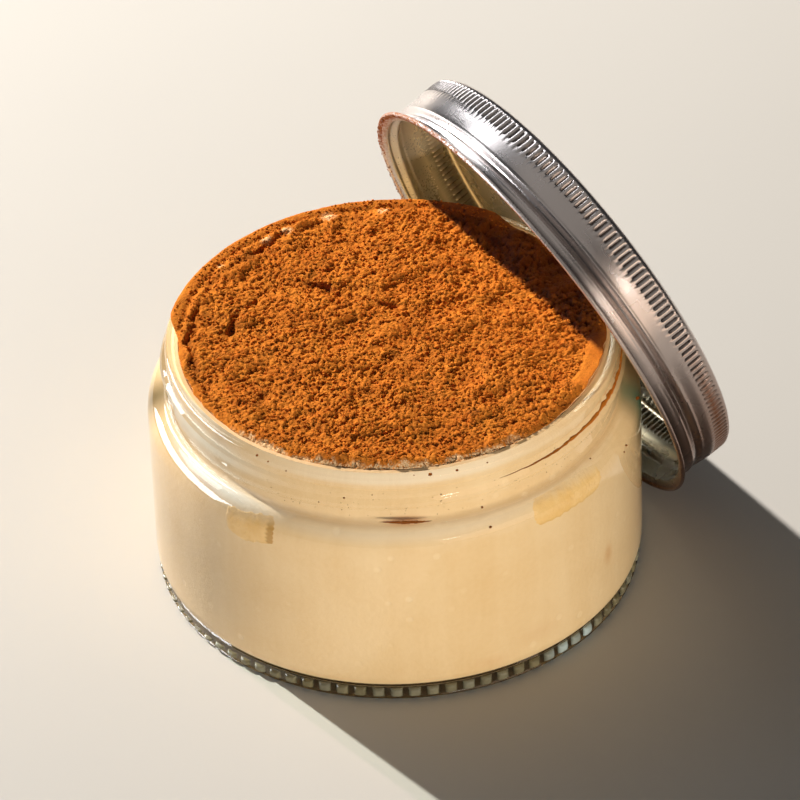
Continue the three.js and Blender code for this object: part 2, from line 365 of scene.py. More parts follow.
def pebbles(x, y, cell, seed):
    """Distance to the middle of the nearest pebble, in cells, and a number from 0 to 1 of its own.

    The pebbles are packed, one to a cell.
    """
    shift_x, shift_y = random_table(seed, 0.1, 0.9), random_table(seed + 1, 0.1, 0.9)
    own = random_table(seed + 2, 0.0, 1.0)
    u, v = x / cell, y / cell
    i, j = np.floor(u).astype(int), np.floor(v).astype(int)
    nearest, number = np.full(u.shape, 2.0), np.zeros(u.shape)
    for di in (-1, 0, 1):
        for dj in (-1, 0, 1):
            a, b = (i + di) % TABLE, (j + dj) % TABLE
            distance = np.hypot(i + di + shift_x[a, b] - u, j + dj + shift_y[a, b] - v)
            number = np.where(distance < nearest, own[a, b], number)
            nearest = np.minimum(nearest, distance)
    return nearest, number


# ---- Making meshes ----

class Outline:
    """A profile of radii and heights, drawn from the last point by lines and curves."""

    def __init__(self, r, z):
        self.points = [(r, z)]

    def line(self, r, z, steps=1):
        r0, z0 = self.points[-1]
        self.points += [(lerp(r0, r, k / steps), lerp(z0, z, k / steps)) for k in range(1, steps + 1)]
        return self

    def curve(self, *controls, steps=8):
        """A Bezier curve through one or two control points to the last point given."""
        corners = [np.array(p, float) for p in (self.points[-1], *controls)]
        for k in range(1, steps + 1):
            level = corners
            while len(level) > 1:
                level = [lerp(a, b, k / steps) for a, b in zip(level, level[1:])]
            self.points.append(tuple(level[0]))
        return self

    def arrays(self):
        r, z = np.array(self.points, float).T
        return r, z


def tube_quads(rows, columns):
    """Quads between rows of points, with the last column joined to the first."""
    row, column = np.meshgrid(np.arange(rows - 1) * columns, np.arange(columns), indexing="ij")
    after = (column + 1) % columns
    corners = [row + column, row + after, row + columns + after, row + columns + column]
    return np.stack(corners, axis=-1).reshape(-1, 4).tolist()


def closed_tube(body, tips):
    """Points and faces of a tube of rows of points, each end closed by a fan round its tip."""
    rows, columns = body.shape[:2]
    points = np.concatenate([body.reshape(-1, 3), tips])
    first, last, end = rows * columns, rows * columns + 1, (rows - 1) * columns
    faces = tube_quads(rows, columns)
    faces += [[first, (k + 1) % columns, k] for k in range(columns)]
    faces += [[last, end + k, end + (k + 1) % columns] for k in range(columns)]
    return points, faces


def tube_values(rows, first=0.0, last=0.0):
    """Values for the points of a closed tube, from rows of which the outer two are its tips."""
    return np.concatenate([rows[1:-1].reshape(-1), [first, last]])


def turned_mesh(radius, height, angles):
    """Points and faces of a closed surface turned round +Z, from rows of radii and heights.

    Both arrays have one row for each step along the profile and one column for each angle. The
    first and the last row lie on the axis.
    """
    tips = [[0.0, 0.0, height[0].mean()], [0.0, 0.0, height[-1].mean()]]
    return closed_tube(on_circle(radius, angles, height)[1:-1], tips)


def turn(outline, columns, shift=None):
    """A turned mesh from one outline. shift(radius, height, degrees) moves its points in or out."""
    angles = np.linspace(0.0, 2.0 * np.pi, columns, endpoint=False)
    radius, height = (np.repeat(side[:, None], columns, axis=1) for side in outline.arrays())
    if shift:
        moved = shift(radius, height, np.degrees(angles)[None, :])
        radius = np.where(radius > 0.0, radius + moved, radius)
    return turned_mesh(radius, height, angles)


def face_outwards(points, faces):
    """Turns every face over if the closed mesh has its inside out."""
    volume = 0.0
    for size in (3, 4):
        chosen = np.array([f for f in faces if len(f) == size])
        if len(chosen) == 0:
            continue
        a = points[chosen[:, 0]]
        for k in range(1, size - 1):
            b, c = points[chosen[:, k]], points[chosen[:, k + 1]]
            volume += np.einsum("ij,ij->i", a, np.cross(b, c)).sum()
    return [list(reversed(f)) for f in faces] if volume < 0.0 else faces


def made_once(maker, *inputs):
    """What a maker makes, made once and then shared."""
    if maker.__name__ not in SHARED:
        SHARED[maker.__name__] = maker(*inputs)
    return SHARED[maker.__name__]


SHARED = {}


def piece(settings, name, mesh_data, maker, replaces=(), sharp=SHARP_EDGE):
    """A mesh object from points in millimetres and faces, riding on the one body."""
    points, faces = mesh_data
    mesh = bpy.data.meshes.new(name)
    mesh.from_pydata((points * MM).tolist(), [], face_outwards(points, faces))
    mesh.validate()
    mesh.shade_smooth()
    mesh.set_sharp_from_angle(angle=math.radians(sharp))
    mesh.materials.append(made_once(maker, settings))
    obj = bpy.data.objects.new(name, mesh)
    bpy.context.scene.collection.objects.link(obj)
    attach(obj, "root")
    if replaces:
        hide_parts(*replaces)
    return obj


def powder_piece(settings, name, mesh_data, replaces=()):
    """A piece of cocoa powder, smooth all over."""
    return piece(settings, name, mesh_data, cocoa_material, replaces, sharp=NO_EDGE)


def paint(obj, **values):
    """Stores numbers for the points of a piece, or one for all, for its material to read."""
    for name, numbers in values.items():
        attribute = obj.data.attributes.new(name, "FLOAT", "POINT")
        attribute.data.foreach_set("value", np.full(len(attribute.data), numbers, np.float32))


# A lump has the 12 corners and 20 faces of an icosahedron
GOLDEN = (1.0 + math.sqrt(5.0)) / 2.0
LUMP_CORNERS = np.array(
    [(s, t * GOLDEN, 0.0) for s in (-1, 1) for t in (-1, 1)]
    + [(0.0, s, t * GOLDEN) for s in (-1, 1) for t in (-1, 1)]
    + [(t * GOLDEN, 0.0, s) for s in (-1, 1) for t in (-1, 1)]
) / math.hypot(1.0, GOLDEN)


def lump_faces():
    """Triples of corners that are all one edge apart, turned to face outwards."""
    edge = 2.0 / math.hypot(1.0, GOLDEN)
    near = np.abs(np.linalg.norm(LUMP_CORNERS[:, None] - LUMP_CORNERS[None], axis=-1) - edge) < 1e-6
    faces = []
    for a, b, c in itertools.combinations(range(12), 3):
        if near[a, b] and near[b, c] and near[a, c]:
            normal = np.cross(LUMP_CORNERS[b] - LUMP_CORNERS[a], LUMP_CORNERS[c] - LUMP_CORNERS[a])
            faces.append((a, b, c) if normal @ LUMP_CORNERS[a] > 0.0 else (a, c, b))
    return np.array(faces)


def lumps(centres, sizes, rng):
    """Points and faces of many small uneven lumps."""
    count = len(centres)
    corners = LUMP_CORNERS[None] * (1.0 + rng.uniform(-LUMP_ROUGHNESS, LUMP_ROUGHNESS, (count, 12, 1)))
    turn_angle = rng.uniform(0.0, 2.0 * np.pi, count)
    cos, sin = np.cos(turn_angle)[:, None], np.sin(turn_angle)[:, None]
    x, y, z = corners[..., 0], corners[..., 1], corners[..., 2]
    turned = np.stack([x * cos - y * sin, x * sin + y * cos, z * LUMP_FLATNESS], axis=-1)
    points = centres[:, None] + turned * sizes[:, None, None]
    faces = lump_faces()[None] + 12 * np.arange(count)[:, None, None]
    return points.reshape(-1, 3), faces.reshape(-1, 3).tolist()


# ---- Materials ----

GLASS_IOR = 1.5
# Colours of the painted shade on the glass and of its painted green see-through patch
DARK_GLASS = (0.05, 0.055, 0.045, 1.0)
GREEN_GLASS = (0.03, 0.32, 0.42, 1.0)
SHADE_OF_GLASS = (0.93, 0.96, 0.94, 1.0)
# Colour of the painted highlight on the cream
WHITISH_CREAM = (0.95, 0.91, 0.84, 1.0)
DULL_RIB = (0.13, 0.1, 0.04, 1.0)
MILKY_RIB = (0.25, 0.21, 0.11, 1.0)
# Colour of the painted glint on the foot's ribs
BRIGHT_RIB = (0.6, 0.72, 0.7, 1.0)
# Colour of the painted shade in the lid's knurl gaps and grooves
GRIME = (0.05, 0.035, 0.03, 1.0)


def new_material(name):
    material = bpy.data.materials.new(name)
    material.use_nodes = True
    tree = material.node_tree
    return material, tree, tree.nodes["Principled BSDF"]


def feed(tree, socket, value):
    """Gives a node's input a link from a socket, or a plain value."""
    if isinstance(value, bpy.types.NodeSocket):
        tree.links.new(value, socket)
    else:
        socket.default_value = value


def add_node(tree, kind, inputs=(), **settings):
    """A node with its settings, and pairs of an input's name and what feeds it."""
    node = tree.nodes.new(kind)
    for key, value in settings.items():
        setattr(node, key, value)
    for key, value in inputs:
        feed(tree, node.inputs[key], value)
    return node


def new_group(name, inputs, outputs):
    """A node group, its input node and its output node."""
    group = bpy.data.node_groups.new(name, "ShaderNodeTree")
    for key, kind, default in inputs:
        socket = group.interface.new_socket(key, in_out="INPUT", socket_type="NodeSocket" + kind)
        socket.default_value = default
    for key, kind in outputs:
        group.interface.new_socket(key, in_out="OUTPUT", socket_type="NodeSocket" + kind)
    return group, group.nodes.new("NodeGroupInput").outputs, group.nodes.new("NodeGroupOutput").inputs


def object_place(tree):
    return tree.nodes.new("ShaderNodeTexCoord").outputs["Object"]


def grain_group():
    """Fine grain of a chosen size: a height for bump, and a mask of the same spots."""
    sizes = [("Scale", "Float", 1000.0), ("Detail", "Float", 4.0)]
    group, enter, leave = new_group("Fine grain", sizes, [("Height", "Float"), ("Mask", "Float")])
    where = [("Vector", object_place(group)), ("Scale", enter["Scale"]), ("Detail", enter["Detail"])]
    noise = add_node(group, "ShaderNodeTexNoise", where).outputs["Fac"]
    spots = [("Value", noise), ("From Min", 0.35), ("From Max", 0.65)]
    feed(group, leave["Height"], noise)
    feed(group, leave["Mask"], add_node(group, "ShaderNodeMapRange", spots).outputs["Result"])
    return group


def uneven_group():
    """A colour that drifts slowly between two shades over the surface."""
    choices = [("Scale", "Float", 60.0), ("Stretch", "Vector", (1.0, 1.0, 1.0))]
    choices += [("First", "Color", (0.5, 0.5, 0.5, 1.0)), ("Second", "Color", (0.6, 0.6, 0.6, 1.0))]
    group, enter, leave = new_group("Uneven colour", choices, [("Color", "Color")])
    ends = [(0, object_place(group)), (1, enter["Stretch"])]
    stretch = add_node(group, "ShaderNodeVectorMath", ends, operation="MULTIPLY").outputs["Vector"]
    where = [("Vector", stretch), ("Scale", enter["Scale"]), ("Detail", 3.0)]
    noise = add_node(group, "ShaderNodeTexNoise", where).outputs["Fac"]
    spread = [("Value", noise), ("From Min", 0.3), ("From Max", 0.7)]
    drift = add_node(group, "ShaderNodeMapRange", spread).outputs["Result"]
    feed(group, leave["Color"], mix_colours(group, drift, enter["First"], enter["Second"]))
    return group


def grain(tree, scale, detail):
    """Fine grain: a socket for its height and one for the mask of its spots."""
    inputs = [("Scale", scale), ("Detail", detail)]
    node = add_node(tree, "ShaderNodeGroup", inputs, node_tree=made_once(grain_group))
    return node.outputs["Height"], node.outputs["Mask"]


def uneven(tree, scale, first, second, stretch=(1.0, 1.0, 1.0)):
    inputs = [("Scale", scale), ("Stretch", stretch), ("First", first), ("Second", second)]
    return add_node(tree, "ShaderNodeGroup", inputs, node_tree=made_once(uneven_group)).outputs["Color"]


def rgba(colour):
    return (*colour[:3], 1.0)


def tinted(colour, factors):
    """A colour with each of its parts multiplied, and kept to one."""
    return rgba([min(1.0, part * factor) for part, factor in zip(colour, factors)])


def mix_colours(tree, factor, first, second):
    """A mix of two colours. Each of the three is a socket, or a plain value."""
    mix = add_node(tree, "ShaderNodeMix", data_type="RGBA")
    colour_sockets = [s for s in mix.inputs if s.type == "RGBA"]
    for socket, value in zip((mix.inputs["Factor"], *colour_sockets), (factor, first, second)):
        feed(tree, socket, value)
    return next(s for s in mix.outputs if s.type == "RGBA")


def painted(tree, name):
    """The numbers that paint() stored under a name."""
    return add_node(tree, "ShaderNodeAttribute", attribute_name=name).outputs["Fac"]


def calculate(tree, operation, first, second, clamp=True):
    inputs = [(0, first), (1, second)]
    return add_node(tree, "ShaderNodeMath", inputs, operation=operation, use_clamp=clamp).outputs[0]


def scaled(tree, value, factor):
    return calculate(tree, "MULTIPLY", value, factor)


def dress(tree, surface, colour, relief, strength, depth, **values):
    """Gives a surface its colour, a fine relief of a depth in metres, and its plain values."""
    inputs = [("Strength", strength), ("Distance", depth), ("Height", relief)]
    feed(tree, surface.inputs["Base Color"], colour)
    feed(tree, surface.inputs["Normal"], add_node(tree, "ShaderNodeBump", inputs).outputs["Normal"])
    for name, value in values.items():
        feed(tree, surface.inputs[name.replace("_", " ")], value)


def glass_material(settings):
    """Clear pressed glass, faintly green, with painted shade in patches and low on the foot, and a painted
    green see-through patch. It lets light through to what it touches.
    """
    material, tree, surface = new_material("pressed_glass")
    # Painted shade, and a painted green see-through, mixed into the glass's tint
    darkened = mix_colours(tree, painted(tree, "deep"), rgba(settings.glass_tint), DARK_GLASS)
    tint = mix_colours(tree, painted(tree, "green"), darkened, GREEN_GLASS)
    waves, _ = grain(tree, 90.0, 1.0)
    dress(tree, surface, tint, waves, 0.15, 0.0004, Transmission_Weight=1.0, Roughness=0.02, IOR=GLASS_IOR)
    clear = add_node(tree, "ShaderNodeBsdfTransparent", [("Color", SHADE_OF_GLASS)]).outputs["BSDF"]
    path = tree.nodes.new("ShaderNodeLightPath").outputs
    either = calculate(tree, "MAXIMUM", path["Is Shadow Ray"], path["Is Diffuse Ray"])
    inputs = [("Fac", either), (1, surface.outputs["BSDF"]), (2, clear)]
    mix = add_node(tree, "ShaderNodeMixShader", inputs)
    feed(tree, tree.nodes["Material Output"].inputs["Surface"], mix.outputs["Shader"])
    return material


def cream_material(settings):
    """Soft whipped cream: pale, a little uneven, with fine pores, cocoa stains and painted highlight patches.
    """
    material, tree, surface = new_material("mascarpone_cream")
    light = rgba(settings.cream_colour)
    deep, pale = (tinted(light, k) for k in ((0.94, 0.89, 0.8), (1.08, 1.14, 1.25)))
    drift = uneven(tree, 55.0, deep, light, stretch=(1.0, 1.0, 1.7))
    pores, pore_spots = grain(tree, 900.0, 2.0)
    porous = mix_colours(tree, scaled(tree, pore_spots, 0.18), drift, pale)
    streaked = mix_colours(tree, 0.3, porous, uneven(tree, 210.0, deep, pale, stretch=(1.0, 1.0, 0.1)))
    bubble = air_bubbles(tree)
    spotted = mix_colours(tree, scaled(tree, bubble, 0.6), streaked, pale)
    # Painted highlight: whiter patches of cream behind the glass
    whitish = mix_colours(tree, painted(tree, "pale"), spotted, WHITISH_CREAM)
    stain = tinted(settings.cocoa_light, (0.9, 0.95, 1.6))
    colour = mix_colours(tree, painted(tree, "stained"), whitish, stain)
    relief = calculate(tree, "SUBTRACT", pores, scaled(tree, bubble, 0.9), clamp=False)
    dress(tree, surface, colour, relief, 0.3, 0.0003, Roughness=0.55, Specular_IOR_Level=0.3)
    return material


def air_bubbles(tree):
    """One in the small round bubbles that are trapped against the glass."""
    inputs = [("Scale", 190.0), ("Randomness", 1.0), ("Vector", object_place(tree))]
    cells = add_node(tree, "ShaderNodeTexVoronoi", inputs, voronoi_dimensions="3D", feature="F1")
    edge = [("From Min", 0.17), ("From Max", 0.1), ("Value", cells.outputs["Distance"])]
    _, few = grain(tree, 45.0, 1.0)
    return scaled(tree, add_node(tree, "ShaderNodeMapRange", edge).outputs["Result"], few)


def cocoa_material(settings):
    """Dry cocoa powder: bright grains, painted shade in the hollows between them, and cream where it is thin.
    """
    material, tree, surface = new_material("cocoa_powder")
    light, dark = rgba(settings.cocoa_light), rgba(settings.cocoa_dark)
    drift = uneven(tree, 260.0, tinted(light, (0.85, 0.72, 0.7)), light)
    fine, spots = grain(tree, 3200.0, 3.0)
    speckled = mix_colours(tree, scaled(tree, spots, 0.22), drift, dark)
    # Painted shade between grains, in the marks and in the lid's shadow, and a darker tone, all mixed toward
    # the dark colour
    shaded = mix_colours(tree, painted(tree, "hollow"), speckled, dark)
    bare = scaled(tree, painted(tree, "bare"), spots)
    colour = mix_colours(tree, bare, shaded, rgba(settings.cream_colour))
    dress(tree, surface, colour, fine, 0.8, 0.0003, Roughness=0.95, Specular_IOR_Level=0.05)
    return material


def rib_material(settings):
    """Milky green pressed glass of the foot's ribs, some a little brighter at random, with a painted glint
    where light gathers.
    """
    material, tree, surface = new_material("rib_glass")
    fine, spots = grain(tree, 1500.0, 2.0)
    drift = uneven(tree, 420.0, DULL_RIB, MILKY_RIB)
    speckled = mix_colours(tree, scaled(tree, spots, 0.3), drift, MILKY_RIB)
    colour = mix_colours(tree, painted(tree, "bright"), speckled, BRIGHT_RIB)
    dress(tree, surface, colour, fine, 0.3, 0.0003, Transmission_Weight=0.25, Roughness=0.18, IOR=GLASS_IOR)
    return material


def sponge_material(settings):
    """Soaked sponge finger: yellow crumb, browner towards its cut end, with painted shade along its lower
    edge.
    """
    material, tree, surface = new_material("soaked_sponge")
    light = rgba(settings.sponge_colour)
    deep, brown = (tinted(light, k) for k in ((0.93, 0.84, 0.66), (0.62, 0.5, 0.3)))
    crumb, spots = grain(tree, 1400.0, 3.0)
    spotted = mix_colours(tree, scaled(tree, spots, 0.35), uneven(tree, 300.0, deep, light), deep)
    # Browner at the cut end, and painted shade along the lower edge
    marked = mix_colours(tree, painted(tree, "cut_end"), spotted, brown)
    colour = mix_colours(tree, painted(tree, "creamy"), marked, rgba(settings.cream_colour))
    dress(tree, surface, colour, crumb, 0.5, 0.0004, Roughness=0.8, Specular_IOR_Level=0.2)
    return material


def lid_material(settings):
    """Satin aluminium, lacquered golden inside, with cocoa dust on the curled edge. Painted shade makes it
    darker and browner low down, in its grooves and low inside; painted highlight bands lighten its inside.
    """
    material, tree, surface = new_material("satin_aluminium")
    low, inside = painted(tree, "warm"), painted(tree, "inside")
    metal, lacquer = rgba(settings.lid_colour), rgba(settings.lacquer_colour)
    # The lacquer brighter in painted highlight bands, darker in painted shade
    bright, dim = (tinted(lacquer, (k, k, k)) for k in (1.15, 0.22))
    # Painted shade: the outside darker and browner toward the lid's low end and on its grip
    outside = mix_colours(tree, low, metal, tinted(metal, (0.24, 0.115, 0.06)))
    # Painted shade in the knurl gaps and the grooves
    grimy = mix_colours(tree, scaled(tree, painted(tree, "gap"), 0.85), outside, GRIME)
    # Painted shade darkens the lacquer low down inside, and the cocoa film darkens it near the open edge
    shaded = mix_colours(tree, low, lacquer, dim)
    banded = mix_colours(tree, painted(tree, "strip"), shaded, bright)
    fine, spots = grain(tree, 2600.0, 3.0)
    dust = scaled(tree, painted(tree, "dust"), spots)
    powder = tinted(settings.cocoa_light, (0.42, 0.38, 0.4))
    colour = mix_colours(tree, dust, mix_colours(tree, inside, grimy, banded), powder)
    covered = calculate(tree, "ADD", dust, scaled(tree, inside, 0.3))
    smudge, _ = grain(tree, 120.0, 3.0)
    spread = [("To Min", settings.lid_roughness - 0.04), ("To Max", settings.lid_roughness + 0.04)]
    uneven_shine = add_node(tree, "ShaderNodeMapRange", [("Value", smudge), *spread]).outputs["Result"]
    dress(
        tree, surface, colour, fine, 0.06, 0.0002,
        Metallic=calculate(tree, "SUBTRACT", 1.0, covered),
        Roughness=calculate(tree, "ADD", uneven_shine, dust),
    )
    return material


def floor_material(settings):
    material, tree, surface = new_material("pale_floor")
    light = rgba(settings.floor_colour)
    drift = uneven(tree, 6.0, tinted(light, (0.97, 0.97, 0.97)), light)
    feed(tree, surface.inputs["Base Color"], drift)
    feed(tree, surface.inputs["Roughness"], 0.7)
    return material


# ---- Jar ----

def inside_wall(outline, into_glass):
    """Draws the inside of the jar from under its lip to the floor, some way into the glass."""
    mouth = MOUTH_RADIUS + into_glass
    body = BODY_RADIUS - WALL + into_glass
    floor = FLOOR_EDGE - into_glass
    outline.line(mouth, SHOULDER_HIGH + 0.6, 28)
    outline.curve(
        (mouth, SHOULDER_HIGH - 1.4 + into_glass),
        (body, SHOULDER_HIGH - 1.0 + into_glass),
        (body, SHOULDER_LOW - 1.0 + into_glass),
        steps=16,
    )
    outline.line(body, floor + FLOOR_CORNER, 36)
    outline.curve((body, floor), (body - FLOOR_CORNER, floor), steps=8)
    outline.line(0.0, FLOOR_MIDDLE - into_glass, 3)


def jar_outline():
    outline = Outline(0.0, 0.0)
    outline.line(FOOT_RADIUS - 4.0, 0.0, 3).line(FOOT_RADIUS - FOOT_CORNER, 0.0)
    outline.curve((FOOT_RADIUS, 0.0), (FOOT_RADIUS, FOOT_CORNER), steps=5)
    outline.line(FOOT_RADIUS, FOOT_HEIGHT - 0.4, 8).line(FOOT_RADIUS - 0.5, FOOT_HEIGHT)
    outline.curve((BODY_RADIUS, FOOT_HEIGHT + 0.2), (BODY_RADIUS, FOOT_HEIGHT + 1.4), steps=5)
    outline.line(BODY_RADIUS, SHOULDER_LOW, 12)
    outline.curve(
        (BODY_RADIUS, SHOULDER_LOW + 2.2),
        (BODY_RADIUS - 0.9, SHOULDER_LOW + 3.6),
        (BODY_RADIUS - 2.4, SHOULDER_LOW + 4.1),
        steps=10,
    )
    outline.curve((NECK_RADIUS, SHOULDER_HIGH - 0.7), (NECK_RADIUS, SHOULDER_HIGH), steps=6)
    outline.line(NECK_RADIUS, LIP_LOW - 0.4, 22)
    outline.line(LIP_RADIUS - 0.3, LIP_LOW).line(LIP_RADIUS, LIP_LOW + 0.4)
    outline.line(LIP_RADIUS, JAR_HEIGHT - LIP_EDGE, 2)
    outline.curve((LIP_RADIUS, JAR_HEIGHT), (LIP_RADIUS - LIP_EDGE, JAR_HEIGHT), steps=6)
    outline.line(MOUTH_RADIUS + LIP_EDGE, JAR_HEIGHT)
    outline.curve((MOUTH_RADIUS, JAR_HEIGHT), (MOUTH_RADIUS, JAR_HEIGHT - LIP_EDGE), steps=6)
    inside_wall(outline, 0.0)
    return outline


def thread_height(height, degrees):
    """How far the screw thread stands out of the neck."""
    strength = np.zeros(np.broadcast(height, degrees).shape)
    for start in THREAD_STARTS:
        along, ends = fading_span(degrees, start, THREAD_SPAN, THREAD_FADE)
        middle = THREAD_LOW + THREAD_PITCH * along / 360.0
        strength = np.maximum(strength, ends * bell(height - middle, THREAD_HALF_WIDTH))
    return THREAD_DEPTH * strength


def make_jar(settings):
    def shift(radius, height, degrees):
        outside = radius > OUTSIDE_OF_JAR
        neck = outside & (height > SHOULDER_HIGH) & (height < LIP_LOW)
        foot = outside & (height < FOOT_HEIGHT)
        recess = FOOT_RECESS * smoothstep(height, 0.1, 0.6)
        recess = recess * (1.0 - smoothstep(height, FOOT_HEIGHT - 0.9, FOOT_HEIGHT - 0.1))
        return np.where(neck, thread_height(height, degrees), 0.0) - np.where(foot, recess, 0.0)

    mesh_data = turn(jar_outline(), JAR_COLUMNS, shift)
    obj = piece(settings, "glass_jar", mesh_data, glass_material, ["jar_glass"])
    points = mesh_data[0]
    height, degrees = points[:, 2], degrees_round(points)
    outside = np.hypot(points[:, 0], points[:, 1]) > OUTSIDE_OF_JAR
    # Painted shade low on the outside of the foot, left out where the ribs are short
    in_foot = 0.35 * (1.0 - smoothstep(height, FOOT_HEIGHT - 1.1, FOOT_HEIGHT - 0.7))
    deep = np.where(outside, in_foot * (1.0 - around(degrees, SHORT_RIBS)), 0.0)
    green = np.zeros(len(points))
    # Patches of painted shade, and the painted green see-through patch
    for patch in DEEP_GLASS:
        strength, greenness = patch[4] * round_patch(degrees, height, patch) * outside, patch[5]
        deep = np.maximum(deep, strength * (1.0 - greenness))
        green = np.maximum(green, strength * greenness)
    paint(obj, deep=deep, green=green)
    make_foot_ribs(settings)
    return obj


def make_foot_ribs(settings):
    """Short upright pillows of glass round the foot, each a rounded front on a flat back."""
    count, steps = settings.foot_ribs, RIB_STEPS
    line = np.linspace(-1.0, 1.0, steps)
    across, up = np.meshgrid(line, line, indexing="ij")
    crown = np.sqrt(np.clip((1.0 - across ** 4) * (1.0 - up ** 4), 0.0, 1.0))
    front = lerp(RIB_SIDE_RADIUS, RIB_FRONT_RADIUS, crown)
    ridge = np.arange(count) * 2.0 * np.pi / count
    short = np.clip(1.4 * around(np.degrees(ridge), SHORT_RIBS), 0.0, 1.0)[:, None, None]
    height = lerp(RIB_LOW, lerp(RIB_HIGH, SHORT_RIB_HIGH, short), 0.5 + 0.5 * up)
    angle = ridge[:, None, None] + RIB_WIDTH / 2.0 / FOOT_RADIUS * across
    shells = [on_circle(radius, angle, height) for radius in (front, RIB_BACK_RADIUS)]
    points = np.concatenate([shell.reshape(count, -1, 3) for shell in shells], axis=1).reshape(-1, 3)
    size = steps * steps
    grid = np.arange(size).reshape(steps, steps)
    quads = np.stack([grid[:-1, :-1], grid[1:, :-1], grid[1:, 1:], grid[:-1, 1:]], axis=-1).reshape(-1, 4)
    rim = np.concatenate([grid[:-1, 0], grid[-1, :-1], grid[:0:-1, -1], grid[0, :0:-1]])
    after = np.roll(rim, -1)
    sides = np.stack([rim, rim + size, after + size, after], axis=-1)
    one = np.concatenate([quads, quads[:, ::-1] + size, sides])
    faces = (one[None] + 2 * size * np.arange(count)[:, None, None]).reshape(-1, 4).tolist()
    obj = piece(settings, "foot_ribs", (points, faces), rib_material, sharp=RIB_EDGE)
    one_rib = np.repeat(random_table(97, 0.0, 1.0)[0, :count], 2 * size)
    # A painted glint round one angle, and a random brightness for each rib
    lit = around(degrees_round(points), BRIGHT_RIBS)
    paint(obj, bright=np.clip(lit * (0.3 + one_rib) + 0.12 * one_rib, 0.0, 1.0))
    return obj


# ---- Cream and sponge fingers ----

def make_cream(settings):
    rim = LIP_EDGE - INTO_GLASS
    middle = (MOUTH_RADIUS + LIP_EDGE, JAR_HEIGHT - LIP_EDGE)
    outline = Outline(0.0, CREAM_TOP).line(37.8, CREAM_TOP, 8)
    outline.curve((39.2, CREAM_TOP), (39.8, 49.8), steps=5).line(40.45, 50.5, 4)
    for degrees in (55, 45, 35, 25, 15, 0):
        angle = math.radians(degrees)
        outline.line(middle[0] - rim * math.cos(angle), middle[1] + rim * math.sin(angle))
    inside_wall(outline, INTO_GLASS)
    mesh_data = turn(outline, CREAM_COLUMNS)
    obj = piece(settings, "cream_filling", mesh_data, cream_material, ["cream"])
    points = mesh_data[0]
    degrees = degrees_round(points)
    side = np.where(np.hypot(points[:, 0], points[:, 1]) > CREAM_SIDE, 1.0, 0.0)
    # Cocoa stains, and the patches of painted highlight
    stained, pale = (
        side * np.max([patch[4] * round_patch(degrees, points[:, 2], patch) for patch in patches], axis=0)
        for patches in (CREAM_STAINS, PALE_CREAM)
    )
    paint(obj, stained=stained, pale=pale)
    return obj


def wall_radius_inside(height):
    """Inner radius of the glass at a height, worked out from its outline."""
    outline = Outline(MOUTH_RADIUS, JAR_HEIGHT - LIP_EDGE)
    inside_wall(outline, 0.0)
    r, z = outline.arrays()
    order = np.argsort(z)
    return np.interp(height, z[order], r[order])


def finger_mesh(place):
    """Points and faces of a bar with a blunt round nose, how browned and shaded it is, and how creamy."""
    half = (place["reach"] - place["start"]) / 2.0
    bend = np.linspace(0.0, np.pi, FINGER_ROWS)
    angle = np.linspace(0.0, 2.0 * np.pi, FINGER_COLUMNS, endpoint=False)
    u, t = np.meshgrid(bend, angle, indexing="ij")
    nose = half - FINGER_NOSE
    x = -nose * np.tanh(4.0 * np.cos(u)) - FINGER_NOSE * np.cos(u)
    swell = np.sqrt(np.clip(1.0 - (np.clip(np.abs(x) - nose, 0.0, None) / FINGER_NOSE) ** 2, 0.0, 1.0))
    rough = 0.12 * ripple(x + 90.0, t * 12.0 + 40.0, 0.9, 21)
    y = (place["half_width"] + rough) * swell * np.cos(t)
    z = (FINGER_HALF_HEIGHT + rough) * swell * np.sin(t) + place["level"]
    ragged = 0.25 * smoothstep(np.sin(z * 2.0 * np.pi / 0.75), -0.6, 0.6)
    past_cut = y - place["cut"] + ragged
    y = np.minimum(y, place["cut"] - ragged)
    x = x + place["start"] + half
    turn_angle = math.radians(place["toward"])
    px = x * math.cos(turn_angle) - y * math.sin(turn_angle)
    py = x * math.sin(turn_angle) + y * math.cos(turn_angle)
    degrees = np.degrees(np.arctan2(py, px))
    first, last = place["touch_from"], place["touch_to"]
    across = np.clip((degrees - first) / (last - first), 0.0, 1.0)
    uneven = 0.25 * ripple_along(degrees * 0.8 + 200.0, 7.0, 23)
    above_low = z - lerp(*place["touch_low"], across) - uneven
    below_high = lerp(*place["touch_high"], across) + uneven - z
    ends = window(degrees, first + 0.6, last - 0.6, 1.0)
    touching = smoothstep(above_low, -0.3, 0.1) * smoothstep(below_high, -1.6, -0.8)
    touching = touching * smoothstep(ends, 0.0, 0.3)
    limit = wall_radius_inside(z) + SPONGE_INTO_GLASS - 0.9 * (1.0 - touching)
    shrink = np.minimum(1.0, limit / np.hypot(px, py))
    creamy = 1.0 - smoothstep(below_high, -0.9, 1.1) * smoothstep(ends, 0.1, 1.0)
    # Painted shade along the lower edge where the finger meets the glass
    low_edge = 0.4 * (1.0 - smoothstep(above_low, 0.0, 0.7))
    browned = np.maximum(smoothstep(past_cut, -1.7, -1.0), low_edge)
    body = np.stack([px * shrink, py * shrink, z], axis=-1)[1:-1]
    mesh_data = closed_tube(body, [body[0].mean(axis=0), body[-1].mean(axis=0)])
    return mesh_data, tube_values(browned), tube_values(creamy)


def make_finger(settings, place):
    """A sponge finger with its nose pressed against the glass."""
    mesh_data, browned, creamy = finger_mesh(place)
    name = place["node"].replace("sponge_finger", "sponge")
    obj = piece(settings, name, mesh_data, sponge_material, [place["node"]])
    paint(obj, cut_end=browned, creamy=creamy)
    return obj


# ---- Cocoa ----

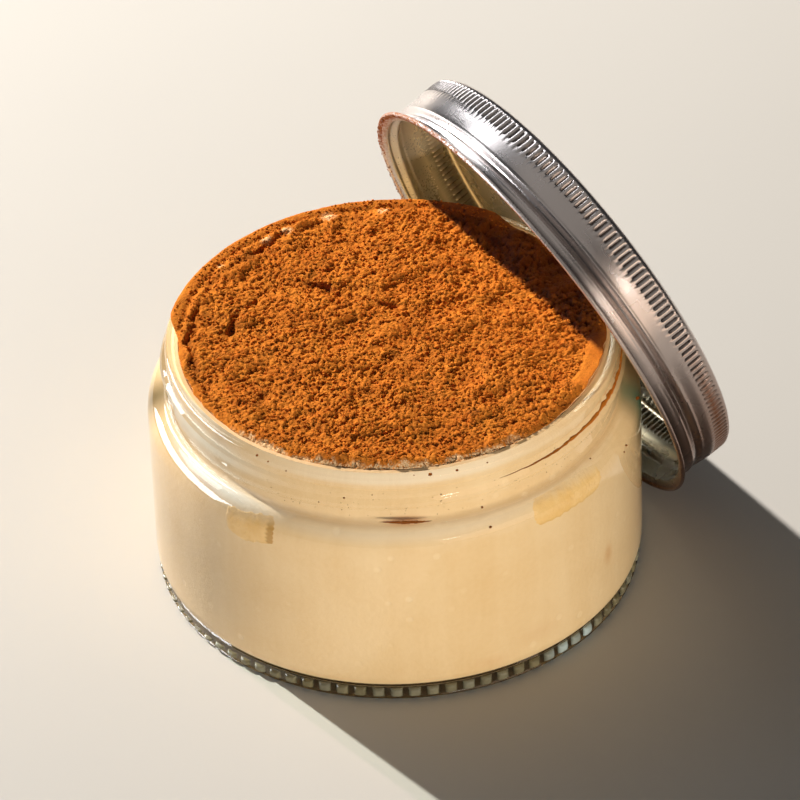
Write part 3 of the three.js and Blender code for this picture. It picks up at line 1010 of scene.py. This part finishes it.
def lip_cover(degrees):
    """One where cocoa lies on the glass lip, at the back of the jar."""
    return fading_span(degrees, *COVERED_LIP)[1]


def smooth_band(radius, degrees):
    """One in the fine smooth cocoa that has slid against the glass."""
    return fading_span(degrees, *SMOOTH_COCOA)[1] * smoothstep(radius, 36.9, 37.9)


def lip_level(radius):
    """Height of the top of the glass lip at a radius."""
    over = np.clip(radius - (LIP_RADIUS - LIP_EDGE), 0.0, LIP_EDGE)
    return JAR_HEIGHT - LIP_EDGE + np.sqrt(LIP_EDGE ** 2 - over ** 2)


def distance_to_segment(x, y, start, stop):
    """How far along a segment its nearest point is, from 0 to 1, and the distance to it."""
    dx, dy = stop[0] - start[0], stop[1] - start[1]
    t = np.clip(((x - start[0]) * dx + (y - start[1]) * dy) / (dx * dx + dy * dy), 0.0, 1.0)
    return t, np.hypot(x - start[0] - t * dx, y - start[1] - t * dy)


def marks_depth(x, y, radius, degrees):
    """Depth of the ring groove, the pits and the fold in the cocoa."""
    g = RING_GROOVE
    wander = 0.3 * ripple_along(degrees / 6.0, 3.0, 31) + lerp(-0.5, 0.6, smoothstep(degrees, 106.0, 118.0))
    wander = wander + 0.5 * ripple_on_top(x, y, 1.1, 34)
    strong = 0.5 + 0.5 * ripple_along(degrees / 5.0, 9.0, 33)
    wide = 0.9 + 0.9 * smoothstep(ripple_along(degrees / 9.0, 4.0, 36), -0.2, 0.8)
    groove = bell((radius - g["radius"] - wander) / wide, 1.0)
    depth = 1.7 * g["depth"] * groove * window(degrees, g["start"], g["stop"], g["fade"]) * strong
    for pit in COCOA_PITS:
        distance = np.hypot(x - pit["at"][0], (y - pit["at"][1]) * 1.25)
        depth = np.maximum(depth, 0.6 * pit["depth"] * bell(distance, pit["radius"]))
    ragged = 0.5 * ripple_on_top(x, y, 1.0, 35)
    patchy = 0.6 + 0.4 * ripple_on_top(x, y, 1.7, 38)
    for start, stop in zip(COCOA_FOLD, COCOA_FOLD[1:]):
        along, away = distance_to_segment(x, y, start, stop)
        fold = patchy * lerp(start[2], stop[2], along) * bell(away + ragged, FOLD_HALF_WIDTH)
        depth = np.maximum(depth, fold)
    return depth


def redness(x, y):
    """One in the deeper patches of the cocoa, partly a redder tone and partly painted shade."""
    patch = np.zeros(x.shape)
    ragged = 0.8 * ripple_on_top(x, y, 1.1, 37)
    for px, py, size in RED_PATCHES:
        patch = np.maximum(patch, bell(np.hypot(x - px, (y - py) * 1.3) + ragged, size))
    drift = ripple_on_top(x, y, 3.4, 39) + 0.6 * ripple_on_top(x, y, 1.5, 40)
    return np.clip(patch + 0.5 * smoothstep(drift, 0.25, 0.9), 0.0, 1.0)


def grain_relief(x, y, grain_size):
    """Packed grains: their height, and the shade painted in the hollows between them."""
    wx, wy = (
        side + 0.12 * grain_size * ripple_on_top(x, y, 0.8 * grain_size, seed) + PEBBLE_SHIFT
        for side, seed in ((x, 41), (y, 43))
    )
    big, own_big = pebbles(wx, wy, 1.9 * grain_size, 49)
    clump, own_clump = pebbles(wx, wy, 0.8 * grain_size, 52)
    small, _ = pebbles(wx, wy, 0.46 * grain_size, 61)
    coarse = smoothstep(ripple_on_top(x, y, 5.0, 71) + 0.5 * ripple_on_top(x, y, 2.3, 73), -0.5, 0.7)
    height = 0.42 * coarse * (1.0 - big ** 2 + 0.5 * own_big)
    height = height + (0.5 + 0.3 * coarse) * (1.0 - clump ** 2) + 0.3 * own_clump + 0.22 * (1.0 - small ** 2)
    hollow = smoothstep(clump, 0.5, 0.85) * (0.5 + 0.4 * coarse) + 0.3 * smoothstep(small, 0.5, 0.9)
    return height - GRAIN_MIDDLE, np.clip(hollow - 0.4 * own_clump, 0.0, 1.0)


def cocoa_surface(x, y, grain_size):
    """Height of the cocoa, its painted shade and darker tone, and how bare it is, at points in the jar's
    plane.
    """
    radius = np.hypot(x, y)
    degrees = np.mod(np.degrees(np.arctan2(y, x)), 360.0)
    swell = np.sin(x * 0.23 + 1.0) * np.cos(y * 0.19 - 0.6) + 0.6 * np.sin((x + y) * 0.31)
    marks = marks_depth(x, y, radius, degrees)
    relief, hollow = grain_relief(x, y, grain_size)
    cover, fine = lip_cover(degrees), smooth_band(radius, degrees)
    inner = COCOA_LEVEL + COCOA_SWELL * swell - marks
    bare_lip, covered_lip = lerp(EDGE_LEVEL, SMOOTH_EDGE_LEVEL, fine), lip_level(radius) + LIP_COVER
    edge = lerp(bare_lip, covered_lip, cover * smoothstep(radius, 39.6, 41.0))
    to_edge = smoothstep(radius, 38.6, 40.4)
    strength = lerp(1.0, lerp(0.45, 0.16, cover), to_edge) * lerp(1.0, 0.18, fine)
    flakes = ripple_on_top(x, y, 1.5, 83) + 0.6 * ripple_on_top(x, y, 0.45, 84)
    broken = fading_span(degrees, *BROKEN_EDGE)[1] * smoothstep(radius + 0.9 * flakes, 39.2, 40.1)
    # Painted shadow of the lid: darker cocoa beyond the first x, fading in up to the second
    damp = smoothstep(x, *DAMP_FROM) * (1.0 - 0.35 * to_edge)
    height = lerp(inner, edge, to_edge) + relief * strength * (1.0 + 0.7 * damp) - 0.3 * broken
    # Painted shade in the hollows between grains, in the groove, pits and fold, and in the red patches
    shade = hollow * lerp(1.0, 0.1, fine) * lerp(1.0, 0.6, to_edge) + 0.45 * marks
    shade = shade + 0.4 * redness(x, y) * (1.0 - fine) + damp * (0.76 + 0.6 * hollow)
    bare = np.zeros(radius.shape)
    for bx, by, size in BARE_SPOTS:
        bare = np.maximum(bare, bell(np.hypot(x - bx, y - by), size))
    return height, np.clip(shade, 0.0, 1.0), np.clip(np.maximum(bare * 1.6, broken * 1.9), 0.0, 1.9)


def cocoa_edge(degrees):
    """How far out the cocoa reaches."""
    cover = lip_cover(degrees)
    return COCOA_REACH + 0.3 * ripple_along(degrees / 3.0, 5.0, 81) * (1.0 - cover) + 2.5 * cover


def disc_lattice(rings):
    """Points of a unit disc in rings of 6, 12, 18 and so on, and the triangles between them."""
    points, starts = [np.zeros((1, 2))], [0]
    for k in range(1, rings + 1):
        angle = np.arange(6 * k) * 2.0 * np.pi / (6 * k)
        starts.append(starts[-1] + (6 * (k - 1) if k > 1 else 1))
        points.append(np.stack([np.cos(angle), np.sin(angle)], axis=-1) * k / rings)
    triangles = []
    for k in range(1, rings + 1):
        inner, outer = starts[k - 1], starts[k]
        inner_count, outer_count = max(1, 6 * (k - 1)), 6 * k
        sector, step = np.meshgrid(np.arange(6), np.arange(k), indexing="ij")
        o = sector * k + step
        i = sector * (k - 1) + step
        out = np.stack([outer + o, outer + (o + 1) % outer_count, inner + i % inner_count], axis=-1)
        triangles.append(out.reshape(-1, 3))
        if k > 1:
            sector, step = np.meshgrid(np.arange(6), np.arange(k - 1), indexing="ij")
            o = sector * k + step + 1
            i = sector * (k - 1) + step
            back = np.stack([inner + i % inner_count, outer + o, inner + (i + 1) % inner_count], axis=-1)
            triangles.append(back.reshape(-1, 3))
    return np.concatenate(points), np.concatenate(triangles), starts[-1]


def make_cocoa(settings):
    flat, triangles, rim = disc_lattice(COCOA_RINGS)
    degrees = np.mod(degrees_round(flat), 360.0)
    angle, unit = np.radians(degrees), np.hypot(flat[:, 0], flat[:, 1])
    radius = unit * lerp(COCOA_REACH, cocoa_edge(degrees), smoothstep(unit, 0.85, 1.0))
    x, y = radius * np.cos(angle), radius * np.sin(angle)
    height, hollow, bare = cocoa_surface(x, y, settings.grain_size)
    top = np.stack([x, y, height], axis=-1)

    # The underside: down from the edge, and in under the layer
    total, count = len(top), len(top) - rim
    cover = lip_cover(degrees[rim:])
    low_edge = top[rim:] - lerp(0.35, 0.5, cover)[:, None] * [0.0, 0.0, 1.0]
    under = on_circle(UNDERSIDE_RADIUS, angle[rim:], UNDERSIDE_LEVEL)
    points = np.concatenate([top, low_edge, under, [[0.0, 0.0, UNDERSIDE_LEVEL]]])
    faces = triangles.tolist()
    for k in range(count):
        after = (k + 1) % count
        faces.append([rim + k, total + k, total + after, rim + after])
        faces.append([total + k, total + count + k, total + count + after, total + after])
        faces.append([total + count + k, total + 2 * count, total + count + after])
    obj = powder_piece(settings, "cocoa_top", (points, faces), ["cocoa_layer"])
    covered = np.concatenate([cover, cover, [0.0]])
    bare = np.concatenate([bare, 3.0 * (1.0 - covered)])
    paint(obj, hollow=np.concatenate([hollow, np.zeros(len(covered))]), bare=bare)
    return obj


def make_crumbs(settings):
    """Loose grains and small clumps lying on the cocoa."""
    rng = np.random.default_rng(GRAIN_SEED)
    count = settings.crumbs
    degrees = rng.uniform(0.0, 360.0, count)
    radius = np.sqrt(rng.uniform(0.0, 1.0, count)) * (cocoa_edge(degrees) - 0.6)
    x, y = radius * np.cos(np.radians(degrees)), radius * np.sin(np.radians(degrees))
    height, hollow, bare = cocoa_surface(x, y, settings.grain_size)
    sizes = 0.16 + 0.26 * rng.beta(1.3, 4.0, count)
    keep = (bare < 0.3) & (smooth_band(radius, degrees) < 0.3) & (hollow < 0.75)
    centres = np.stack([x, y, height + 0.25 * sizes], axis=-1)[keep]
    return powder_piece(settings, "cocoa_crumbs", lumps(centres, sizes[keep], rng))


def smear_mesh(ends, levels, half_height, thickness, seed):
    """A low uneven mound of powder along the outside of the neck, between two angles."""
    t = np.linspace(0.0, 1.0, SMEAR_COLUMNS)
    v = np.linspace(-1.0, 1.0, SMEAR_ROWS)
    degrees = lerp(*ends, t)[:, None]
    width = half_height * np.sin(np.pi * t) ** 0.9
    width = (width * (1.0 + 0.35 * ripple_along(t * 60.0, 0.0, seed)) + 0.01)[:, None]
    middle = lerp(*levels, t) + 0.06 * ripple_along(t * 40.0, 0.0, seed + 1)
    rise = np.sqrt(np.clip(1.0 - v ** 2, 0.0, 1.0))
    uneven = 1.0 + 0.3 * ripple(t[:, None] * 90.0, v[None] * 2.0, 1.0, seed + 2)
    height = middle[:, None] + width * v
    neck, angle = neck_radius(height, degrees), np.radians(degrees)
    mound = neck - 0.05 + thickness * rise * uneven * (width / half_height)
    front, back = on_circle(mound, angle, height), on_circle(neck - 0.12, angle, height)
    ring = np.concatenate([front, back[:, ::-1]], axis=1)
    count = 2 * SMEAR_ROWS
    last = (SMEAR_COLUMNS - 1) * count
    faces = tube_quads(SMEAR_COLUMNS, count)
    faces.append(list(range(count - 1, -1, -1)))
    faces.append([last + k for k in range(count)])
    return ring.reshape(-1, 3), faces


def neck_radius(height, degrees):
    """Outer radius of the glass from its shoulder to its lip."""
    r, z = jar_outline().arrays()
    outer = (r > MOUTH_RADIUS + LIP_EDGE) & (z > FOOT_HEIGHT)
    order = np.argsort(z[outer], kind="stable")
    plain = np.interp(height, z[outer][order], r[outer][order])
    ridge = np.where((height > SHOULDER_HIGH) & (height < LIP_LOW), thread_height(height, degrees), 0.0)
    return plain + ridge


def make_dust(settings):
    """Cocoa caught above the thread and at the foot of the neck, and grains stuck to the glass."""
    mesh_data = smear_mesh(*THREAD_DUST)
    line = powder_piece(settings, "thread_dust", mesh_data)
    paint(line, hollow=0.6 - 0.5 * smoothstep(degrees_round(mesh_data[0]), -84.0, -66.0))
    stain = powder_piece(settings, "neck_stain", smear_mesh(*NECK_STAIN))
    paint(stain, hollow=0.75)
    rng = np.random.default_rng(GRAIN_SEED + 1)
    azimuth, height, radius, size = np.array(STUCK_GRAINS).T
    degrees, level = rng.uniform(SCATTERED_FROM, SCATTERED_TO, (SCATTERED_GRAINS, 2)).T
    placed = on_circle(radius, np.radians(azimuth), height)
    scattered = on_circle(neck_radius(level, degrees), np.radians(degrees), level)
    sizes = np.concatenate([size, rng.uniform(*SCATTERED_SIZES, SCATTERED_GRAINS)])
    grains = lumps(np.concatenate([placed, scattered]), sizes, rng)
    paint(powder_piece(settings, "stuck_grains", grains), hollow=0.7)


# ---- Lid, made with its open end at height 0 and then stood on its edge ----

def roll_middle(degrees):
    """Height of the middle of the rolled groove, and its strength, at an angle."""
    along, ends = fading_span(degrees, ROLL_START, ROLL_SPAN, ROLL_FADE)
    return ROLL_LOW + THREAD_PITCH * np.minimum(along, ROLL_SPAN) / 360.0, ends


def lid_wall(height, degrees, knurls):
    """Outer radius of the lid's wall."""
    base = lerp(BAND_RADIUS, GRIP_RADIUS, smoothstep(height, ROLL_HIGH, GRIP_LOW))
    middle, ends = roll_middle(degrees)
    ends = ends * (1.0 - 0.8 * bell(degrees - 310.0, 45.0))
    groove = bell(height - middle, 1.25)
    ridges = bell(height - middle - 1.3, 0.45) + bell(height - middle + 1.3, 0.45)
    clear = smoothstep(height, BAND_LOW - 0.1, BAND_LOW + 0.5)
    rolled = clear * ends * (0.12 * ridges - ROLL_DEPTH * groove)
    step = -0.14 * bell(height - 1.0, 0.3) - 0.1 * bell(height - 1.75, 0.3) * (1.0 - ends * groove)
    return base + rolled + step - KNURL_DEPTH * knurl_gap(height, degrees, knurls)


def knurl_gap(height, degrees, knurls):
    """One in the gaps between the fine ribs of the lid's grip."""
    on_grip = smoothstep(height, GRIP_LOW, GRIP_LOW + 0.35)
    on_grip = on_grip * (1.0 - smoothstep(height, GRIP_HIGH - 0.1, GRIP_HIGH + 0.35))
    return on_grip * smoothstep(np.cos(np.radians(degrees) * knurls), 0.1, 0.95)


def wall_rows(degrees):
    """Heights of the rows up the lid's wall, which follow the rolled groove round."""
    middle, _ = roll_middle(degrees)
    low, high = np.maximum(middle - ROLL_HALF_WIDTH, 1.35), middle + ROLL_HALF_WIDTH
    rows = [np.full_like(degrees, h) for h in (0.75, 1.0, 1.25)]
    rows += [lerp(low, high, k / 16.0) for k in range(17)]
    rows += [lerp(high, GRIP_LOW, k / 3.0) for k in (1, 2, 3)]
    rows += [np.full_like(degrees, h) for h in (GRIP_LOW + 0.35, 10.6, GRIP_HIGH - 0.1, GRIP_HIGH + 0.3)]
    return rows


def lid_rows(degrees, knurls):
    """Radii and heights of the rows from under the lid's top, down its inside and up its outside.

    Each row comes with one if it is inside and zero if it is outside.
    """
    level = np.ones_like(degrees)
    deep = LID_DEPTH - GRIP_HIGH - 0.3
    middle = GRIP_RADIUS - LID_CORNER

    def arc(r, z, half_width, half_height, angles, inside):
        turns = [math.radians(angle) for angle in angles]
        places = [(r + half_width * math.cos(a), z + half_height * math.sin(a)) for a in turns]
        return [(radius * level, height * level, inside) for radius, height in places]

    wall = wall_rows(degrees)
    rows = [(r * level, (LID_DEPTH - SHEET) * level, 1.0) for r in (0.0, 20.0, 38.0, middle)]
    rows += arc(middle, LID_DEPTH - deep, LID_CORNER - SHEET, deep - SHEET, (72, 54, 36, 18), 1.0)
    rows += [(lid_wall(height, degrees, knurls) - SHEET, height, 1.0) for height in reversed(wall)]
    curl = np.linspace(189.0, 396.0, 9)
    rows += arc(CURL_OUTER_RADIUS - CURL_RADIUS, CURL_RADIUS, CURL_RADIUS, CURL_RADIUS, curl, 0.0)
    rows += [(lid_wall(height, degrees, knurls), height, 0.0) for height in wall]
    rows += arc(middle, LID_DEPTH - deep, LID_CORNER, deep, (15, 30, 45, 60, 75, 90), 0.0)
    rows += [(r * level, LID_DEPTH * level, 0.0) for r in (38.0, 20.0, 0.0)]
    return rows


def lid_placement():
    """Stands the lid on its edge, leaning towards the jar."""
    tilt = math.radians(90.0 - LID_LEAN)
    middle = CURL_OUTER_RADIUS - CURL_RADIUS
    place = Vector((
        LID_FOOT[0] - CURL_OUTER_RADIUS * math.cos(tilt),
        LID_FOOT[1],
        middle * math.sin(tilt) - CURL_RADIUS * math.cos(tilt) + CURL_RADIUS,
    ))
    return np.array(Matrix.Rotation(tilt, 3, "Y")), np.array(place)


def stand_lid(points):
    rotation, place = lid_placement()
    return points @ rotation.T + place


def edge_dust(degrees, height):
    """How much cocoa clings to the lid's open edge."""
    upper = fading_span(degrees, *DUSTY_CURL)[1]
    along = fading_span(degrees, *FAINTLY_DUSTY_CURL)[1]
    bead = 1.0 - smoothstep(height, 0.5, 1.0)
    return np.clip(bead * (1.5 * upper + 0.12 * along), 0.0, 1.5)


def make_lid(settings):
    knurls = settings.knurls
    angles = np.linspace(0.0, 2.0 * np.pi, knurls * COLUMNS_PER_KNURL, endpoint=False)
    degrees = np.degrees(angles)
    radius, height, inside = (
        np.array([np.broadcast_to(values, degrees.shape) for values in part])
        for part in zip(*lid_rows(degrees, knurls))
    )
    points, faces = turned_mesh(radius, height, angles)
    points = stand_lid(points)
    obj = piece(settings, "screw_lid", (points, faces), lid_material, ["lid"])
    lifted = points[:, 2]
    grip = bell(tube_values(height) - 0.5 * (GRIP_LOW + GRIP_HIGH), 3.0)
    film = inside * fading_span(degrees, *DUSTY_INSIDE)[1] * (1.0 - smoothstep(height, 1.5, 9.0))
    on_top = (1.0 - inside) * np.where(height > LID_DEPTH - 0.4, 1.0, 0.0)
    # Painted shade low on the lid and on its grip, less on its top face, and where cocoa films the inside
    warm = np.maximum(1.0 - smoothstep(lifted, 20.0, 78.0), grip * (1.0 - smoothstep(lifted, 40.0, 66.0)))
    warm = np.maximum(warm, 0.7 * tube_values(film))
    dust = edge_dust(degrees, height) * np.where(radius > 42.0, 1.0, 0.0) + 0.15 * film
    # Painted shade in the knurl gaps, along the rolled groove and in a line just above the curl
    middle, ends = roll_middle(degrees)
    gap = np.maximum(knurl_gap(height, degrees, knurls), 0.7 * ends * bell(height - middle + 0.3, 0.7))
    gap = (1.0 - inside) * np.maximum(gap, 0.75 * bell(height - 1.25, 0.45))
    # Two painted highlight bands up the lid's inside
    strip = inside * (bell(height - 7.3, 1.9) + 0.8 * bell(height - 12.6, 0.6))
    paint(obj, gap=tube_values(gap), strip=tube_values(strip), dust=tube_values(dust))
    paint(obj, inside=tube_values(inside, first=1.0))
    paint(obj, warm=warm * (1.0 - 0.8 * tube_values(on_top, last=1.0)))
    return obj


def make_lid_dust(settings):
    """Cocoa grains on the curled edge of the lid."""
    rng = np.random.default_rng(GRAIN_SEED + 2)
    angle = np.radians(rng.normal(150.0, 34.0, LID_GRAINS))
    round_curl = np.radians(rng.uniform(150.0, 300.0, LID_GRAINS))
    reach = CURL_RADIUS + 0.02
    radius = CURL_OUTER_RADIUS - CURL_RADIUS + reach * np.cos(round_curl)
    centres = stand_lid(on_circle(radius, angle, CURL_RADIUS + reach * np.sin(round_curl)))
    mesh_data = lumps(centres, rng.uniform(*LID_GRAIN_SIZES, LID_GRAINS), rng)
    grains = powder_piece(settings, "lid_edge_dust", mesh_data)
    paint(grains, hollow=0.6)
    return grains


# ---- Stage ----

LOOK_LEFT = 32.2
CAMERA_RISE = 38.30
CAMERA_ROLL = 2.21
CAMERA_DISTANCE = 24.761 * BODY_RADIUS
CAMERA_SIDE = 0.023 * BODY_RADIUS
CAMERA_LIFT = 0.582 * BODY_RADIUS
FOCAL_PIXELS = 6000.0
FRAME_PIXELS = 800.0
SENSOR = 36.0
FLOOR_HALF_SIDE = 3.0
LIGHT_TARGET = (0.0, 0.0, 0.04)
ROOM_COLOUR = (0.93, 0.95, 1.0, 1.0)

WARM = (1.0, 0.93, 0.84)
PALE = (1.0, 0.97, 0.93)
PEACH = (1.0, 0.93, 0.83)
COOL = (0.92, 0.96, 1.0)
ROSY = (1.0, 0.8, 0.63)

# Lights: name, direction from the camera's side, distance, width and height, share of the fill
# light's power, colour, and the surfaces that the light reaches
SOFT_LIGHTS = (
    ("fill_left", (-0.1, -0.98, 0.05), 1.6, (1.6, 0.16), 0.4, PALE, "dull"),
    ("fill_right", (0.5, -0.86, 0.05), 1.6, (1.6, 0.16), 2.6, PEACH, "dull"),
    ("window", (-0.84, 0.3, 0.36), 1.3, (1.3, 0.6), 4.6, COOL, "bright"),
    ("skylight", (-0.42, 0.52, 0.74), 1.3, (0.6, 0.25), 0.25, COOL, "bright"),
    ("spark", (0.35, -0.85, 0.39), 1.5, (0.2, 0.05), 0.05, PALE, "both"),
    ("card", (0.6, -0.76, 0.3), 1.3, (1.0, 0.7), 0.32, ROSY, "bright"),
    ("ceiling", (0.0, -0.3, 1.0), 1.2, (1.2, 1.2), 0.12, WARM, "bright"),
)


def view_axes():
    """Right, up and back of an upright camera at the viewing angle."""
    a, e = math.radians(LOOK_LEFT), math.radians(CAMERA_RISE)
    right = Vector((math.cos(a), -math.sin(a), 0.0))
    up = Vector((math.sin(e) * math.sin(a), math.sin(e) * math.cos(a), math.cos(e)))
    back = Vector((-math.cos(e) * math.sin(a), -math.cos(e) * math.cos(a), math.sin(e)))
    return right, up, back


def make_camera():
    right, up, back = view_axes()
    c, s = math.cos(math.radians(CAMERA_ROLL)), math.sin(math.radians(CAMERA_ROLL))
    place = (right * CAMERA_SIDE + up * CAMERA_LIFT + back * CAMERA_DISTANCE) * MM
    axes = Matrix((right * c - up * s, right * s + up * c, back)).transposed()
    data = bpy.data.cameras.new("camera")
    data.sensor_width = SENSOR
    data.lens = FOCAL_PIXELS / FRAME_PIXELS * SENSOR
    data.clip_start = 0.05
    data.clip_end = 20.0
    camera = bpy.data.objects.new("camera", data)
    camera.matrix_world = Matrix.Translation(place) @ axes.to_4x4()
    bpy.context.scene.collection.objects.link(camera)
    bpy.context.scene.camera = camera


def seen_from_camera(right_of, away, above):
    """A direction given to the right of the view, away from the camera along the floor, and up."""
    a = math.radians(LOOK_LEFT)
    return Vector((
        right_of * math.cos(a) + away * math.sin(a),
        -right_of * math.sin(a) + away * math.cos(a),
        above,
    ))


def make_light(name, direction, distance, size, power, colour, reaches):
    """An area light of a width and a height that reaches dull surfaces, bright ones or both."""
    data = bpy.data.lights.new(name, "AREA")
    data.shape = "ELLIPSE" if size[0] < 0.3 else "RECTANGLE"
    data.size, data.size_y = size
    data.energy = power
    data.color = colour
    light = bpy.data.objects.new(name, data)
    light.visible_diffuse = reaches != "bright"
    light.visible_glossy = reaches != "dull"
    aim = seen_from_camera(*direction).normalized()
    light.location = Vector(LIGHT_TARGET) + aim * distance
    light.rotation_euler = aim.to_track_quat("Z", "Y").to_euler()
    bpy.context.scene.collection.objects.link(light)


def make_stage(settings):
    half = FLOOR_HALF_SIDE
    corners = [(-half, -half, 0), (half, -half, 0), (half, half, 0), (-half, half, 0)]
    mesh = bpy.data.meshes.new("floor")
    mesh.from_pydata(corners, [], [(0, 1, 2, 3)])
    mesh.materials.append(made_once(floor_material, settings))
    floor = bpy.data.objects.new("floor", mesh)
    floor.location.z = -0.0001
    bpy.context.scene.collection.objects.link(floor)
    make_camera()
    make_light("key", (-0.55, 0.6, 0.45), 1.3, (0.02, 0.02), settings.key_power, WARM, "dull")
    for name, direction, distance, size, share, colour, reaches in SOFT_LIGHTS:
        make_light(name, direction, distance, size, share * settings.fill_power, colour, reaches)
    scene = bpy.context.scene
    world = bpy.data.worlds.new("studio")
    world.use_nodes = True
    background = world.node_tree.nodes["Background"]
    background.inputs["Color"].default_value = ROOM_COLOUR
    background.inputs["Strength"].default_value = settings.room_light
    scene.world = world
    scene.view_settings.view_transform = "Standard"
    scene.view_settings.look = "None"


# ---- The add-on ----

def colour_setting(name, description, default):
    return FloatVectorProperty(
        name=name, description=description, subtype="COLOR", default=default, min=0, max=1)


class TiramisuSettings(bpy.types.PropertyGroup):
    """Sizes and colours that a user would change."""

    foot_ribs: IntProperty(
        name="Foot ribs", description="Ribs round the jar's foot", default=84, min=24, max=120)
    knurls: IntProperty(
        name="Knurls", description="Fine ribs round the lid's grip", default=196, min=60, max=240)
    grain_size: FloatProperty(
        name="Grain size", description="Size of the cocoa's grains against the usual", default=1.0,
        min=0.5, max=2.0, subtype="FACTOR")
    crumbs: IntProperty(
        name="Crumbs", description="Loose grains on the cocoa", default=6500, min=0, max=9000)
    glass_tint: colour_setting("Glass", "Tint of the glass", (0.95, 0.98, 0.95))
    cream_colour: colour_setting("Cream", "Colour of the cream", (0.91, 0.622, 0.342))
    cocoa_light: colour_setting("Cocoa", "Colour of the cocoa's grains", (0.71, 0.237, 0.029))
    # Colour of the cocoa's dark specks and of the shade painted between its grains
    cocoa_dark: colour_setting("Cocoa hollows", "Colour between the cocoa's grains", (0.085, 0.021, 0.008))
    sponge_colour: colour_setting("Sponge", "Colour of the sponge fingers", (0.98, 0.635, 0.285))
    lid_colour: colour_setting("Lid", "Colour of the lid's metal", (0.82, 0.745, 0.72))
    lacquer_colour: colour_setting("Lacquer", "Colour of the lid's inside", (0.86, 0.77, 0.56))
    lid_roughness: FloatProperty(
        name="Lid roughness", description="Roughness of the lid's metal", default=0.27, min=0.0, max=1.0,
        subtype="FACTOR")
    floor_colour: colour_setting("Floor", "Colour of the floor", (0.58, 0.57, 0.55))
    key_power: FloatProperty(
        name="Key light", description="Power of the main light", default=40.0, min=0.0, unit="POWER")
    fill_power: FloatProperty(
        name="Fill light", description="Power of the soft light in front", default=8.2, min=0.0, unit="POWER")
    room_light: FloatProperty(
        name="Room light", description="Brightness of the room", default=0.03, min=0.0)


class TIRAMISU_OT_stage(bpy.types.Operator):
    """Make the floor, the lights and the camera"""

    bl_idname = "tiramisu.stage"
    bl_label = "Stage"

    def execute(self, context):
        make_stage(context.scene.tiramisu)
        return {"FINISHED"}


class TIRAMISU_OT_jar(bpy.types.Operator):
    """Make the glass jar"""

    bl_idname = "tiramisu.jar"
    bl_label = "Glass jar"

    def execute(self, context):
        make_jar(context.scene.tiramisu)
        return {"FINISHED"}


class TIRAMISU_OT_filling(bpy.types.Operator):
    """Make the cream and the sponge fingers in it"""

    bl_idname = "tiramisu.filling"
    bl_label = "Cream and sponge"

    def execute(self, context):
        make_cream(context.scene.tiramisu)
        for place in FINGERS:
            make_finger(context.scene.tiramisu, place)
        return {"FINISHED"}


class TIRAMISU_OT_cocoa(bpy.types.Operator):
    """Make the cocoa layer and the loose grains on it"""

    bl_idname = "tiramisu.cocoa"
    bl_label = "Cocoa"

    def execute(self, context):
        make_cocoa(context.scene.tiramisu)
        make_crumbs(context.scene.tiramisu)
        return {"FINISHED"}


class TIRAMISU_OT_dust(bpy.types.Operator):
    """Make the cocoa dust that clings to the glass and the lid"""

    bl_idname = "tiramisu.dust"
    bl_label = "Dust"

    def execute(self, context):
        make_dust(context.scene.tiramisu)
        make_lid_dust(context.scene.tiramisu)
        return {"FINISHED"}


class TIRAMISU_OT_lid(bpy.types.Operator):
    """Make the screw lid"""

    bl_idname = "tiramisu.lid"
    bl_label = "Screw lid"

    def execute(self, context):
        make_lid(context.scene.tiramisu)
        return {"FINISHED"}


OPERATORS = (
    TIRAMISU_OT_stage,
    TIRAMISU_OT_jar,
    TIRAMISU_OT_filling,
    TIRAMISU_OT_cocoa,
    TIRAMISU_OT_dust,
    TIRAMISU_OT_lid,
)


class TIRAMISU_PT_panel(bpy.types.Panel):
    """Lists the pieces of the tiramisu"""

    bl_idname = "TIRAMISU_PT_panel"
    bl_label = "Tiramisu"
    bl_space_type = "VIEW_3D"
    bl_region_type = "UI"
    bl_category = "Tiramisu"

    def draw(self, context):
        settings = context.scene.tiramisu
        for operator in OPERATORS:
            self.layout.operator(operator.bl_idname)
        for name in settings.bl_rna.properties.keys():
            if name not in ("rna_type", "name"):
                self.layout.prop(settings, name)


CLASSES = (TiramisuSettings, *OPERATORS, TIRAMISU_PT_panel)


def register():
    for cls in CLASSES:
        bpy.utils.register_class(cls)
    bpy.types.Scene.tiramisu = PointerProperty(type=TiramisuSettings)


def unregister():
    del bpy.types.Scene.tiramisu
    for cls in reversed(CLASSES):
        bpy.utils.unregister_class(cls)


def main():
    register()
    bpy.ops.tiramisu.stage()
    bpy.ops.tiramisu.jar()
    bpy.ops.tiramisu.filling()
    bpy.ops.tiramisu.cocoa()
    bpy.ops.tiramisu.dust()
    bpy.ops.tiramisu.lid()


if __name__ == "__main__":
    main()
